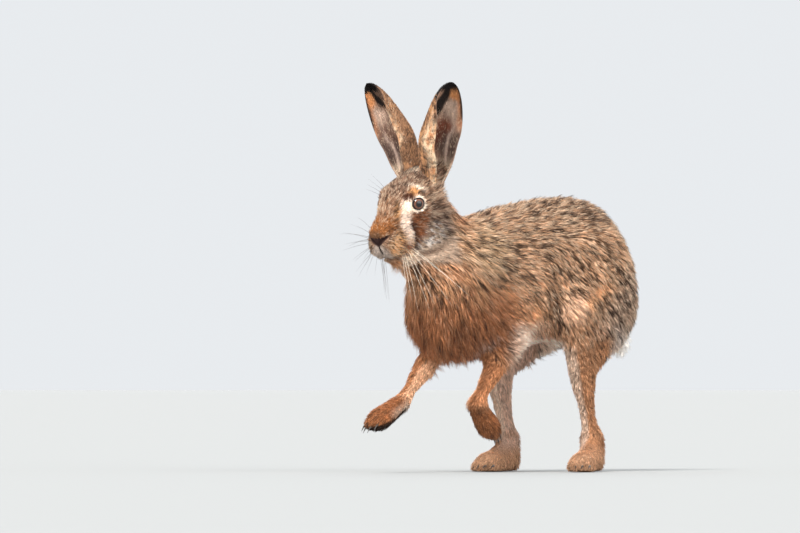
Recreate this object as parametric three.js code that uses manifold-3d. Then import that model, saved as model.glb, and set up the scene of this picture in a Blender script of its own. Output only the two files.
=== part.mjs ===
// A life-size brown hare in mid-stride, weight on its two hind feet and both forefeet lifted.
// Millimetres, +Z up. The hare heads along -Y and its left side is +X. The outer surface is that of the
// lying coat, so the bare body is a few millimetres inside it.
//
// The body is one smooth field, a blend of rounded masses hung on the places of the real joints. Each
// named part is the stretch of that field's surface between two thin cuts, so neighbours meet with no step.

import * as THREE from "three";
import { mergeVertices } from "three/addons/utils/BufferGeometryUtils.js";
import Module from "manifold-3d";

const wasm = await Module();
wasm.setup();

// Driving dimensions

const CUT = 0.3; // width of the cut between two neighbouring parts
const EYE_RADIUS = 9.4;
const EYE_AT = [22.8, -1, -3]; // the left eye's centre, from the middle of the head
const EAR_HALF_WIDTH = 25.5;
const EAR_TUBE_RADIUS = 12.5;
const EAR_THICKNESS = 2.4;
const EAR_ROOT_HEIGHT = 24; // how much of an ear, up from its root, belongs to the head
const HEAD_PITCH = 27; // degrees that the face points below level
const HEAD_YAW = 3; // degrees that the face is turned to the hare's left
const HEAD_AT = [2, -197, 322]; // midway between the eyes
const CLAW_LENGTH = 12;
const CLAW_RADIUS = 1.7;
const CLAW_DROOP = -0.25;

// Where the joints of each leg stand. The right foreleg reaches forward, the left one is folded back.
const LEGS = {
  left: {
    side: 1,
    shoulder: [34, -122, 208],
    elbow: [42, -40, 160],
    wrist: [37, -101, 82],
    fingers: [34, -62, 43],
    hip: [30, 128, 252],
    knee: [56, 60, 192],
    hock: [52, 101, 40],
    hindFootTurn: 30, // degrees that the foot points to the hare's left
  },
  right: {
    side: -1,
    shoulder: [-34, -126, 208],
    elbow: [-40, -72, 158],
    wrist: [-35, -150, 84],
    fingers: [-33, -212, 55],
    hip: [-30, 128, 252],
    knee: [-56, 40, 186],
    hock: [-48, 63, 40],
    hindFootTurn: 22,
  },
};
const TOE_STEPS = [-1.5, -0.5, 0.5, 1.5]; // the four toes of a foot, side by side, in toe widths
const HIND_FOOT = { length: 133, heelRadius: 14.5, ballRadius: 14.5, toeRadius: 8.5 };

const radians = (degrees) => (degrees * Math.PI) / 180;
const vec = (a) => new THREE.Vector3(...a);

// The field: every mass gives a signed distance, negative inside, and masses melt into each other

function melt(a, b, reach) {
  const h = Math.max(reach - Math.abs(a - b), 0) / reach;
  return Math.min(a, b) - (h * h * reach) / 4;
}

// An egg-shaped mass. The turns are in degrees about X (lifting its -Y end), Y and Z.
function mass(centre, radii, turns = [0, 0, 0]) {
  const back = new THREE.Matrix4()
    .makeRotationFromEuler(new THREE.Euler(...turns.map(radians), "ZYX"))
    .setPosition(...centre)
    .invert();
  const q = new THREE.Vector3();
  return (p) => {
    q.copy(p).applyMatrix4(back);
    const near = Math.hypot(q.x / radii[0], q.y / radii[1], q.z / radii[2]);
    const steep = Math.hypot(q.x / radii[0] ** 2, q.y / radii[1] ** 2, q.z / radii[2] ** 2);
    return steep < 1e-9 ? -Math.min(...radii) : (near * (near - 1)) / steep;
  };
}

// A rounded bar from a to b that tapers from one radius to the other, narrowed side to side by flat.
function bar(a, b, radiusA, radiusB, flat = 1) {
  const start = vec(a);
  const along = vec(b).sub(start);
  along.x /= flat;
  const length2 = along.lengthSq();
  const q = new THREE.Vector3();
  return (p) => {
    q.copy(p).sub(start);
    q.x /= flat;
    const t = THREE.MathUtils.clamp(q.dot(along) / length2, 0, 1);
    q.addScaledVector(along, -t);
    return (q.length() - THREE.MathUtils.lerp(radiusA, radiusB, t)) * Math.min(1, flat);
  };
}

// Melts a list of masses in turn.
function blend(masses, reach) {
  return (p) => masses.reduce((d, m) => melt(d, m(p), reach), Infinity);
}

// A claw at a toe's tip, grown on every side by a given gap. It points along the toe and down.
function clawGeometry({ tip, along }, grow = 0) {
  const out = along.clone().addScaledVector(new THREE.Vector3(0, 0, 1), CLAW_DROOP).normalize();
  const turn = new THREE.Quaternion().setFromUnitVectors(new THREE.Vector3(0, 1, 0), out);
  return new THREE.ConeGeometry(CLAW_RADIUS + grow, CLAW_LENGTH + 3 * grow, 5)
    .applyQuaternion(turn)
    .translate(...tip.clone().addScaledVector(out, CLAW_LENGTH / 2 + 2));
}

const between = (a, b, t) => a.map((v, i) => THREE.MathUtils.lerp(v, b[i], t));

// Trunk: deep chest, arched loin and high haunches, with the soft bib of the breast in front

function trunkField() {
  const ribs = blend(
    [
      mass([0, -80, 222], [46, 70, 78], [-6, 0, 0]),
      mass([0, -16, 230], [54, 84, 87], [4, 0, 0]),
      mass([0, 60, 243], [58, 88, 87], [6, 0, 0]),
      mass([0, 130, 258], [57, 70, 75], [34, 0, 0]),
    ],
    34,
  );
  const breast = blend(
    [mass([0, -108, 208], [36, 34, 58], [-8, 0, 0]), mass([0, -92, 168], [37, 42, 34], [0, 0, 0])],
    26,
  );
  return (p) => melt(ribs(p), breast(p), 24);
}

// A leg, from the muscle that spreads over the trunk down to the toes

function upperArm({ shoulder, elbow, side }) {
  return blend(
    [
      mass([side * 29, shoulder[1] + 34, shoulder[2] + 14], [22, 38, 56], [-16, 0, 0]),
      bar(between(shoulder, elbow, 0.4), elbow, 25, 19, 0.8),
    ],
    20,
  );
}

function foreleg({ elbow, wrist }) {
  const muscle = bar(elbow, between(elbow, wrist, 0.6), 20, 12.5, 0.82);
  return blend([muscle, bar(elbow, wrist, 13, 10.5, 0.95)], 10);
}

function fingerPlaces({ wrist, fingers }) {
  const along = vec(fingers).sub(vec(wrist)).normalize();
  const across = new THREE.Vector3(1, 0, 0).addScaledVector(along, -along.x).normalize();
  return TOE_STEPS.map((step) => {
    const tip = vec(fingers)
      .addScaledVector(across, step * 6.2)
      .addScaledVector(along, Math.abs(step) > 1 ? -5 : 0);
    return { tip, along };
  });
}

function forepaw(leg) {
  const { wrist, fingers } = leg;
  const toes = fingerPlaces(leg).map(({ tip, along }) =>
    bar(tip.clone().addScaledVector(along, -24).toArray(), tip.toArray(), 7.5, 6.6),
  );
  return blend([bar(wrist, between(wrist, fingers, 0.72), 13, 16.5, 1.02), blend(toes, 5)], 7);
}

function thigh({ hip, knee, hock, side }) {
  const middle = between(hip, knee, 0.46);
  const calf = vec(between(knee, hock, 0.4)).add(vec([0, 34, 2])).toArray();
  return blend(
    [
      mass([middle[0] + side * 2, middle[1] + 14, middle[2] + 2], [29, 62, 66], [-38, 0, side * -10]),
      mass([side * 40, hip[1] + 10, hip[2] - 36], [26, 42, 62], [12, 0, 0]),
      bar([side * 42, hip[1] + 14, 190], calf, 36, 13, 0.72),
      mass(knee, [16, 26, 30]),
    ],
    24,
  );
}

function shank({ knee, hock }) {
  return blend(
    [
      bar(knee, between(knee, hock, 0.55), 26, 16, 0.74),
      bar(between(knee, hock, 0.4), hock, 16.5, 12, 0.86),
      mass([hock[0], hock[1] + 5, hock[2] - 6], [11.5, 12, 20]),
    ],
    12,
  );
}

// The hind foot's own directions and the places of its toes on the ground.
function hindFootLine({ hock, hindFootTurn }) {
  const turn = radians(hindFootTurn);
  const forward = new THREE.Vector3(Math.sin(turn), -Math.cos(turn), 0);
  const across = new THREE.Vector3(Math.cos(turn), Math.sin(turn), 0);
  const heel = new THREE.Vector3(hock[0], hock[1] + 2, HIND_FOOT.heelRadius - 1.5);
  const place = (distance, height, sideways = 0) =>
    heel.clone().addScaledVector(forward, distance).addScaledVector(across, sideways).setZ(height);
  return { forward, heel, place };
}

function hindToePlaces(leg) {
  const { forward, place } = hindFootLine(leg);
  const { length, toeRadius } = HIND_FOOT;
  return TOE_STEPS.map((step) => {
    const reach = length - 26 - 5 * Math.abs(step) ** 1.6;
    return { step, tip: place(reach, toeRadius - 1.6, step * 7.6), along: forward };
  });
}

function hindFoot(leg) {
  const { heel, place } = hindFootLine(leg);
  const { length, heelRadius, ballRadius, toeRadius } = HIND_FOOT;
  const ball = place(length * 0.62, ballRadius - 2.5);
  const toes = hindToePlaces(leg).map(({ step, tip }) =>
    bar(place(length * 0.58, toeRadius, step * 5.5).toArray(), tip.toArray(), 9, toeRadius),
  );
  return blend(
    [
      bar(leg.hock, heel.toArray(), 14, heelRadius, 0.95),
      bar(heel.toArray(), ball.toArray(), heelRadius, ballRadius, 1.12),
      bar(place(5, 36).toArray(), place(length * 0.5, 14).toArray(), 11.5, 10.5),
      blend(toes, 5),
    ],
    8,
  );
}

// Tail: short, carried low, its tip turned up

function tailField() {
  return blend(
    [
      bar([0, 172, 228], [0, 205, 178], 18, 16, 0.9),
      bar([0, 205, 178], [0, 221, 154], 16, 12, 0.9),
    ],
    14,
  );
}

// Head, built in its own frame: x to its left, y backwards from between the eyes, z up from the face line

const headTurn = new THREE.Euler(radians(HEAD_PITCH), 0, radians(HEAD_YAW), "ZXY");
const headFrame = new THREE.Matrix4()
  .makeRotationFromEuler(headTurn)
  .setPosition(...HEAD_AT);
const intoHead = headFrame.clone().invert();
const fromHead = (p) => vec(p).applyMatrix4(headFrame);
// The direction of the cut that runs from behind the ears down to the throat
const NAPE_PLANE = vec([0, -0.917, 0.4]).applyEuler(headTurn).toArray();

function headField() {
  const sides = [-1, 1].flatMap((s) => [
    mass([s * 13, 6, -30], [14, 31, 24], [0, 0, s * -5]), // cheek
    mass([s * 13, 33, -25], [17, 23, 22]), // angle of the jaw
    mass([s * 9.4, -50, -32], [12, 15, 15], [0, 0, s * 8]), // whisker pad
    mass([s * 16, -8, -17], [7, 22, 7], [12, 0, s * -14]), // ridge below the eye
    mass([s * 18.5, 0, 11], [7, 15, 5], [4, s * 20, s * -8]), // brow
    mass([s * 17.5, 0, -2], [7.5, 12, 11]), // lids
    bar([s * 12, 43, -10], [s * 16, 50, 9], 15, 13), // root of the ear
  ]);
  const skull = blend(
    [
      mass([0, 24, -3], [26, 40, 28], [-4, 0, 0]),
      mass([0, -4, 2], [20, 32, 19], [10, 0, 0]),
      bar([0, -6, -7], [0, -46, -18], 20, 15.5, 0.98),
      mass([0, -47, -24], [15, 16, 18]),
    ],
    14,
  );
  const nose = mass([0, -58, -18], [8, 6.5, 6.5]);
  const jaw = bar([0, -47, -49], [0, 10, -54], 11.5, 18, 0.95);
  const all = blend([skull, jaw, nose, ...sides], 7);
  const q = new THREE.Vector3();
  return (p) => all(q.copy(p).applyMatrix4(intoHead));
}

function neckField() {
  const nape = fromHead([0, 38, -14]).toArray();
  const throat = fromHead([0, 4, -48]).toArray();
  return blend(
    [
      bar(nape, [0, -104, 254], 29, 44, 0.86),
      bar(throat, [0, -110, 226], 25, 38, 0.9),
      mass([1, -166, 252], [20, 28, 21]),
    ],
    18,
  );
}

// Ears: a leaf rolled into a tube at its root and open above, its mouth turned to one side

// The angles are in degrees: how far it leans outwards and forwards, and how far its mouth is turned from
// straight ahead to its own side. The bow is how far its middle stands out from a straight line.
const EARS = {
  left: { side: 1, root: [14, 46, 0], length: 127, outward: 19, forward: 6, mouth: 84, bow: 1 },
  right: { side: -1, root: [-14, 47, 0], length: 133, outward: 24, forward: 10, mouth: 16, bow: -5 },
};

// The frame of an ear: its z runs up to the tip and its y looks out of its mouth.
function earFrame({ side, root, outward, forward, mouth }) {
  const upright = vec([side * Math.tan(radians(outward)), -Math.tan(radians(forward)), 1]).normalize();
  const facing = vec([side * Math.sin(radians(mouth)), -Math.cos(radians(mouth)), 0]);
  facing.addScaledVector(upright, -facing.dot(upright)).normalize();
  const sideways = new THREE.Vector3().crossVectors(facing, upright);
  return new THREE.Matrix4().makeBasis(sideways, facing, upright).setPosition(fromHead(root));
}

// Half the width of the leaf, and half the angle that its section wraps, from the root at 0 to the tip at 1
const WIDEST = 0.56;
function earHalfWidth(t) {
  if (t <= WIDEST) {
    const opened = THREE.MathUtils.smoothstep(t, 0.04, WIDEST);
    return THREE.MathUtils.lerp(EAR_TUBE_RADIUS, EAR_HALF_WIDTH, opened);
  }
  return EAR_HALF_WIDTH * Math.max(1 - ((t - WIDEST) / (1 - WIDEST)) ** 2.3, 0.004) ** 0.56;
}
const earSet = (t) => 0.5 * THREE.MathUtils.smoothstep(t, 0.3, 1); // shift towards the mouth, in radii
function earWrap(t) {
  const opened = THREE.MathUtils.lerp(165, 98, THREE.MathUtils.smoothstep(t, 0.06, 0.5));
  return radians(THREE.MathUtils.lerp(opened, 58, THREE.MathUtils.smoothstep(t, 0.45, 1)));
}

function earGeometry(ear) {
  const rings = 14;
  const across = 8;
  const buried = -14; // how far the tube reaches down into the head
  const positions = [];
  const index = [];
  for (const inner of [false, true]) {
    for (let i = 0; i <= rings; i += 1) {
      const t = (i / rings) ** 0.8;
      const wrap = earWrap(t);
      const radius = earHalfWidth(t) / Math.sin(Math.min(wrap, Math.PI / 2));
      const wall = EAR_THICKNESS * THREE.MathUtils.lerp(1.25, 0.75, t);
      const bow = ear.bow * Math.sin(Math.PI * t);
      for (let j = 0; j <= across; j += 1) {
        const angle = ((2 * j) / across - 1) * wrap;
        const r = inner ? Math.max(radius - wall, radius * 0.3) : radius;
        positions.push(r * Math.sin(angle), radius * earSet(t) - r * Math.cos(angle) + bow);
        positions.push(THREE.MathUtils.lerp(buried, ear.length, t));
      }
    }
  }
  const row = across + 1;
  const sheet = (rings + 1) * row;
  const quad = (a, b, c, d) => index.push(a, b, c, a, c, d);
  for (let i = 0; i < rings; i += 1) {
    for (let j = 0; j < across; j += 1) {
      const a = i * row + j;
      quad(a, a + 1, a + 1 + row, a + row);
      quad(sheet + a, sheet + a + row, sheet + a + 1 + row, sheet + a + 1);
    }
    const near = i * row;
    const far = near + across;
    quad(near, near + row, sheet + near + row, sheet + near);
    quad(far, sheet + far, sheet + far + row, far + row);
  }
  for (let j = 0; j < across; j += 1) {
    const top = rings * row + j;
    quad(j, sheet + j, sheet + j + 1, j + 1);
    quad(top, top + 1, sheet + top + 1, sheet + top);
  }
  return new THREE.BufferGeometry()
    .setAttribute("position", new THREE.Float32BufferAttribute(positions, 3))
    .setIndex(index)
    .applyMatrix4(earFrame(ear));
}

// The whole hare

const limbs = Object.values(LEGS).flatMap((leg) => [
  { field: upperArm(leg), reach: 22 },
  { field: foreleg(leg), reach: 12 },
  { field: forepaw(leg), reach: 6 },
  { field: thigh(leg), reach: 20 },
  { field: shank(leg), reach: 14 },
  { field: hindFoot(leg), reach: 8 },
]);
const bodyMasses = [
  { field: trunkField(), reach: 1 },
  { field: neckField(), reach: 20 },
  { field: tailField(), reach: 16 },
  ...limbs,
  { field: headField(), reach: 14 },
];
const hare = (p) => bodyMasses.reduce((d, { field, reach }) => melt(d, field(p), reach), 1e3);

// Draws the surface where the field is zero, inside a box, on a grid of the given step. Each cell that the
// surface crosses holds one vertex, moved onto the surface, and each crossed grid edge makes one quad.
function surface(field, box, steps) {
  const low = box.min;
  const step = vec(steps);
  const [nx, ny, nz] = ["x", "y", "z"].map((k) => Math.ceil((box.max[k] - box.min[k]) / step[k]) + 1);
  const at = (i, j, k) => i + nx * (j + ny * k);
  const value = new Float64Array(nx * ny * nz);
  const p = new THREE.Vector3();
  const corner = (i, j, k) => p.set(i, j, k).multiply(step).add(low);
  const edge = (n, count) => n === 0 || n === count - 1;
  for (let k = 0; k < nz; k += 1)
    for (let j = 0; j < ny; j += 1)
      for (let i = 0; i < nx; i += 1) {
        const outside = edge(i, nx) || edge(j, ny) || edge(k, nz);
        const d = field(corner(i, j, k));
        value[at(i, j, k)] = outside ? Math.max(d, 2) : d || 1e-6;
      }
  const strides = [1, nx, nx * ny];
  while (fillPinches(value, strides) > 0);
  const vertexOf = new Map();
  const positions = [];
  const cellEdges = [];
  for (let a = 0; a < 8; a += 1)
    for (const bit of [1, 2, 4]) if (!(a & bit)) cellEdges.push([a, a | bit]);
  const offset = (a) => [a & 1, (a >> 1) & 1, (a >> 2) & 1];
  for (let k = 0; k < nz - 1; k += 1)
    for (let j = 0; j < ny - 1; j += 1)
      for (let i = 0; i < nx - 1; i += 1) {
        const d = (a) => value[at(i + (a & 1), j + ((a >> 1) & 1), k + ((a >> 2) & 1))];
        const sum = new THREE.Vector3();
        let crossings = 0;
        for (const [a, b] of cellEdges) {
          const da = d(a);
          const db = d(b);
          if (da < 0 === db < 0) continue;
          const t = da / (da - db);
          sum.add(vec(offset(a)).lerp(vec(offset(b)), t));
          crossings += 1;
        }
        if (!crossings) continue;
        vertexOf.set(at(i, j, k), positions.length / 3);
        sum.divideScalar(crossings).add(vec([i, j, k])).multiply(step).add(low);
        positions.push(...sum);
      }
  const index = [];
  for (let k = 0; k < nz - 1; k += 1)
    for (let j = 0; j < ny - 1; j += 1)
      for (let i = 0; i < nx - 1; i += 1)
        for (let axis = 0; axis < 3; axis += 1) {
          const here = at(i, j, k);
          const inside = value[here] < 0;
          if (inside === value[here + strides[axis]] < 0) continue;
          const u = strides[(axis + 1) % 3];
          const v = strides[(axis + 2) % 3];
          const ring = [here - u - v, here - v, here, here - u].map((c) => vertexOf.get(c));
          if (!inside) ring.reverse();
          index.push(ring[0], ring[1], ring[2], ring[0], ring[2], ring[3]);
        }
  settle(field, positions, low, step);
  return new THREE.BufferGeometry()
    .setAttribute("position", new THREE.Float32BufferAttribute(positions, 3))
    .setIndex(index);
}

// Fills the narrower gap of each grid face on which two sheets of the surface would touch along an edge.
function fillPinches(value, strides) {
  let filled = 0;
  for (let here = 0; here + strides[1] + strides[2] < value.length; here += 1)
    for (let axis = 0; axis < 3; axis += 1) {
      const u = strides[axis];
      const v = strides[(axis + 1) % 3];
      const inside = value[here] < 0;
      if (inside !== value[here + u + v] < 0 || inside === value[here + u] < 0) continue;
      if (inside === value[here + v] < 0) continue;
      const [first, second] = inside ? [here + u, here + v] : [here, here + u + v];
      value[value[first] < value[second] ? first : second] = -1e-6;
      filled += 1;
    }
  return filled;
}

// Moves each vertex towards the field's zero along its slope, and keeps it inside its own cell of the grid.
function settle(field, positions, low, step) {
  const probe = 0.3;
  const axes = [vec([probe, 0, 0]), vec([0, probe, 0]), vec([0, 0, probe])];
  const p = new THREE.Vector3();
  const cell = new THREE.Box3();
  const margin = step.clone().multiplyScalar(-0.06);
  for (let i = 0; i < positions.length; i += 3) {
    p.fromArray(positions, i);
    cell.min.copy(p).sub(low).divide(step).floor().multiply(step).add(low);
    cell.max.copy(cell.min).add(step);
    cell.expandByVector(margin);
    for (let turn = 0; turn < 3; turn += 1) {
      const d = field(p);
      const slope = vec(axes.map((a) => (field(p.clone().add(a)) - d) / probe));
      p.addScaledVector(slope, -d / Math.max(slope.lengthSq(), 0.2));
    }
    cell.clampPoint(p, p).toArray(positions, i);
  }
}

// Solids

function solidOf(geometry) {
  const plain = geometry.clone();
  plain.deleteAttribute("normal");
  plain.deleteAttribute("uv");
  const merged = mergeVertices(plain, 1e-3);
  return new wasm.Manifold(
    new wasm.Mesh({
      numProp: 3,
      vertProperties: merged.attributes.position.array,
      triVerts: new Uint32Array(merged.index.array),
    }),
  );
}

function geometryOf(solid) {
  const mesh = solid.getMesh();
  return new THREE.BufferGeometry()
    .setAttribute("position", new THREE.BufferAttribute(mesh.vertProperties, 3))
    .setIndex(new THREE.BufferAttribute(mesh.triVerts, 1));
}

// A box that holds everything beyond a plane: it starts at a point and runs along a direction.
function beyond(point, direction, [length, width, height], grow = 0) {
  const along = vec(direction).normalize();
  const level = Math.abs(along.z) > 0.9 ? new THREE.Vector3(0, 1, 0) : new THREE.Vector3(0, 0, 1);
  const across = new THREE.Vector3().crossVectors(level, along).normalize();
  const up = new THREE.Vector3().crossVectors(along, across);
  const box = new THREE.BoxGeometry(length + grow, width + 2 * grow, height + 2 * grow);
  box.translate((length + grow) / 2 - grow, 0, 0);
  box.applyMatrix4(new THREE.Matrix4().makeBasis(along, across, up).setPosition(vec(point)));
  return box;
}

const away = (a, b) => vec(b).sub(vec(a)).normalize().toArray();
const bisector = (a, b) => a.map((v, i) => v + b[i]);

// Every part that is cut from the hare: the box beyond its first cut, and the grid steps of its surface.
// The later ones are cut from what the earlier ones leave.
const cuts = [];
const cut = (name, point, direction, size, steps) => cuts.push({ name, point, direction, size, steps });

for (const [name, leg] of Object.entries(LEGS)) {
  const s = leg.side;
  const down = away(leg.elbow, leg.wrist);
  const atWrist = bisector(down, away(leg.wrist, leg.fingers));
  const belowElbow = between(leg.elbow, leg.wrist, 0.36);
  const belowKnee = between(leg.knee, leg.hock, 0.24);
  const overFoot = [leg.hock[0], leg.hock[1] - 30, 47];
  cut(`forepaw_${name}`, leg.wrist, atWrist, [100, 60, 124], [8, 9, 9]);
  cut(`forearm_${name}`, belowElbow, down, [120, 66, 56], [10, 11, 12]);
  cut(`hindfoot_${name}`, overFoot, [0, 0, -1], [60, 110, 250], [8, 10, 8]);
  cut(`shank_${name}`, belowKnee, away(leg.knee, leg.hock), [160, 84, 104], [10, 11, 17]);
  cut(`thigh_${name}`, [s * 41, 112, 208], [s, 0, -0.18], [80, 212, 200], [15, 18, 17]);
}
cut("tail", [0, 194, 206], [0, 0.62, -0.78], [90, 60, 70], [10, 10, 11]);
const headCut = [fromHead([0, 57, -19]).toArray(), NAPE_PLANE, [200, 130, 156]];
cut("head", ...headCut, [8, 10, 8]);
cut("neck", [0, -120, 266], [0, -0.79, 0.61], [130, 130, 150], [14, 14, 14]);

const hareBox = new THREE.Box3(vec([-130, -290, -8]), vec([130, 260, 400]));
const ground = solidOf(new THREE.BoxGeometry(900, 900, 60).translate(0, 0, -30));
const eyeCentres = {
  left: fromHead(EYE_AT),
  right: fromHead([-EYE_AT[0], EYE_AT[1], EYE_AT[2]]),
};
const eyeball = (radius) => new THREE.SphereGeometry(radius, 14, 9);

const shapes = {};
for (const [order, { name, point, direction, size, steps }] of cuts.entries()) {
  const cell = beyond(point, direction, size);
  cell.computeBoundingBox();
  const box = cell.boundingBox.clone().expandByScalar(12).intersect(hareBox);
  shapes[name] = solidOf(surface(hare, box, steps)).intersect(solidOf(cell)).subtract(ground);
  for (const earlier of cuts.slice(0, order)) {
    const taken = beyond(earlier.point, earlier.direction, earlier.size, CUT);
    shapes[name] = shapes[name].subtract(solidOf(taken));
  }
}
shapes.trunk = solidOf(surface(hare, hareBox, [17, 22, 17]));
for (const { point, direction, size } of cuts) {
  shapes.trunk = shapes.trunk.subtract(solidOf(beyond(point, direction, size, CUT)));
}

// An ear stands on the head: the root of its tube belongs to the head.
for (const [name, ear] of Object.entries(EARS)) {
  const whole = solidOf(earGeometry(ear));
  const upright = new THREE.Vector3().setFromMatrixColumn(earFrame(ear), 2);
  const foot = fromHead(ear.root).addScaledVector(upright, EAR_ROOT_HEIGHT).toArray();
  shapes[`ear_${name}`] = whole.intersect(solidOf(beyond(foot, upright, [150, 90, 90])));
  const root = whole.subtract(solidOf(beyond(foot, upright, [150, 90, 90], CUT)));
  shapes.head = shapes.head.add(root.intersect(solidOf(beyond(...headCut))));
}
for (const centre of Object.values(eyeCentres)) {
  shapes.head = shapes.head.subtract(solidOf(eyeball(EYE_RADIUS + CUT).translate(...centre)));
}

const claws = {};
for (const [name, leg] of Object.entries(LEGS)) {
  for (const [foot, toes] of [["forepaw", fingerPlaces(leg)], ["hindfoot", hindToePlaces(leg)]]) {
    for (const [number, toe] of toes.entries()) {
      claws[`claw_${foot}_${name}_${number + 1}`] = clawGeometry(toe);
      shapes[`${foot}_${name}`] = shapes[`${foot}_${name}`].subtract(solidOf(clawGeometry(toe, CUT)));
    }
  }
}

// The largest piece of a solid, without the crumbs that a cut may leave beside it.
function mainPiece(solid) {
  return solid.decompose().sort((a, b) => b.volume() - a.volume())[0];
}

// Materials

const matt = (color, roughness = 0.95) => new THREE.MeshStandardMaterial({ color, roughness });
const MATERIALS = {
  coat: matt("#8f6a45"),
  breast: matt("#a0683a"),
  ear: matt("#7d6350"),
  paw: matt("#7a5230"),
  tail: matt("#e6ded2"),
  claw: matt("#3a2f28", 0.5),
  eye: matt("#3a2413", 0.05),
};
function materialOf(name) {
  if (name.startsWith("ear")) return MATERIALS.ear;
  if (name.startsWith("forepaw")) return MATERIALS.paw;
  if (name === "tail") return MATERIALS.tail;
  if (name === "neck" || name.startsWith("forearm")) return MATERIALS.breast;
  return MATERIALS.coat;
}

const group = new THREE.Group();
for (const [name, solid] of Object.entries(shapes)) {
  const mesh = new THREE.Mesh(geometryOf(mainPiece(solid)), materialOf(name));
  mesh.name = name;
  group.add(mesh);
}
for (const [name, geometry] of Object.entries(claws)) {
  const mesh = new THREE.Mesh(geometry, MATERIALS.claw);
  mesh.name = name;
  group.add(mesh);
}
for (const [name, centre] of Object.entries(eyeCentres)) {
  const mesh = new THREE.Mesh(eyeball(EYE_RADIUS), MATERIALS.eye);
  mesh.name = `eye_${name}`;
  mesh.position.copy(centre);
  group.add(mesh);
}

// The origin is the middle of the hare's box, on the ground.
const extent = new THREE.Box3().setFromObject(group);
const middle = extent.getCenter(new THREE.Vector3());
group.position.set(-middle.x, -middle.y, -extent.min.z);
export default group;
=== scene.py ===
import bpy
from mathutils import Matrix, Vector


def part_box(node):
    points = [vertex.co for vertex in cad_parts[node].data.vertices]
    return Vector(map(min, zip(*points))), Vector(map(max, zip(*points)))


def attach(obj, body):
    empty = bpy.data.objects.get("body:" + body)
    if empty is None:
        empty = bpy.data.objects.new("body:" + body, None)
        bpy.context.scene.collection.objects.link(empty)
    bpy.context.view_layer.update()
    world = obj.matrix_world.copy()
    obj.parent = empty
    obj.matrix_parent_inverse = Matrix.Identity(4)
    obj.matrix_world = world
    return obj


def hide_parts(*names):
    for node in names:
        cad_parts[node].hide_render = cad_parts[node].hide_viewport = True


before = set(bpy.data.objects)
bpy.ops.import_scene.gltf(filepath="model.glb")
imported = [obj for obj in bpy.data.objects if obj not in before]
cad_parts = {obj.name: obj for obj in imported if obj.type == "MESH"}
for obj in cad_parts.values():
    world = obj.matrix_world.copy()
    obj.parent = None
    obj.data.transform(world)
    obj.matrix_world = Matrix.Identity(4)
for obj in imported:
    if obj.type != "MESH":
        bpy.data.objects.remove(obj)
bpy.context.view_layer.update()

import math

import bmesh
import bpy
import numpy as np
from mathutils import Matrix, Vector
from mathutils.kdtree import KDTree

# A brown hare in mid-stride, shaped in millimetres in its own axes: it heads along -Y, its left side is +X,
# and the floor is at z 0. The head has axes of its own: x to its left, y backwards, z up from the face.

EYE_RADIUS = 9.4
CORNEA = 0.35  # how far the cornea stands out of the ball
EYE_AT = np.array([22.8, -1.0, -3.0])  # the left eye, in the head's axes
EYE_GAZE = np.array([0.84, -0.51, 0.15])
HEAD_AT = np.array([2.0, -197.0, 322.0])
HEAD_PITCH = 27
HEAD_YAW = 3
EAR_HALF_WIDTH = 25.5
EAR_TUBE_RADIUS = 12.5
EAR_THICKNESS = 2.4
EAR_BURIED = 14.0  # how far an ear's tube starts below its root
EAR_WRAPS = (165.0, 98.0, 58.0)  # half the angle that an ear wraps round: at its root, half-way and at its tip
EAR_FOLD = 22  # degrees by which an ear's front margin folds further in than its rear one
EARS = {  # the root in the head's axes, lengths in millimetres, turns in degrees
    "left": {
        "side": 1, "root": (14, 46, 0), "length": 127, "outward": 19, "forward": 6, "mouth": 84,
        "bow": 1, "wide": 1.09, "marks_back": 0.0,
    },
    "right": {
        "side": -1, "root": (-14, 47, 0), "length": 133, "outward": 24, "forward": 10, "mouth": 16,
        "bow": -5, "wide": 1.0, "marks_back": 0.22,
    },
}
WIDEST = 0.56  # where an ear is widest, from 0 at its root to 1 at its tip
VOXEL = 2.75  # the size of the skin's faces, before those of the head are halved
MM = 0.001

rng = np.random.default_rng(20)


# Small helpers


def unit(vectors):
    return vectors / np.maximum(np.linalg.norm(vectors, axis=-1, keepdims=True), 1e-9)


def mix(a, b, share):
    """Between two numbers, or two rows of three numbers."""
    share = np.asarray(share)
    if share.ndim and 3 in (np.shape(a)[-1:] + np.shape(b)[-1:]):
        share = share[..., None]
    return a + (b - a) * share


def ramp(x, start, end):
    t = np.clip((x - start) / (end - start), 0, 1)
    return t * t * (3 - 2 * t)


def spot(distance, radius, soft):
    """1 within a radius, fading to 0 over a soft edge."""
    return 1 - ramp(distance, radius - soft, radius + soft)


def rows(*parts):
    """Three numbers or arrays, side by side as rows of three."""
    return np.stack(np.broadcast_arrays(*parts), axis=-1)


def turned(pitch, yaw):
    c, s = math.cos(math.radians(pitch)), math.sin(math.radians(pitch))
    about_x = np.array([[1, 0, 0], [0, c, -s], [0, s, c]])
    c, s = math.cos(math.radians(yaw)), math.sin(math.radians(yaw))
    about_z = np.array([[c, -s, 0], [s, c, 0], [0, 0, 1]])
    return about_z @ about_x


HEAD = turned(HEAD_PITCH, HEAD_YAW)


def from_head(p):
    return np.asarray(p) @ HEAD.T + HEAD_AT


def into_head(p):
    return (p - HEAD_AT) @ HEAD


def lattice(cells, seed):
    """A number from 0 to 1 for each whole-numbered cell."""
    x, y, z = (cells[..., k].astype(np.int64) for k in range(3))
    n = x * 374761393 + y * 668265263 + z * 2147483647 + seed * 974711
    n = (n ^ (n >> 13)) * 1274126177 & 0x7FFFFFFF
    return ((n ^ (n >> 16)) & 0xFFFF) / 65535.0


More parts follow.
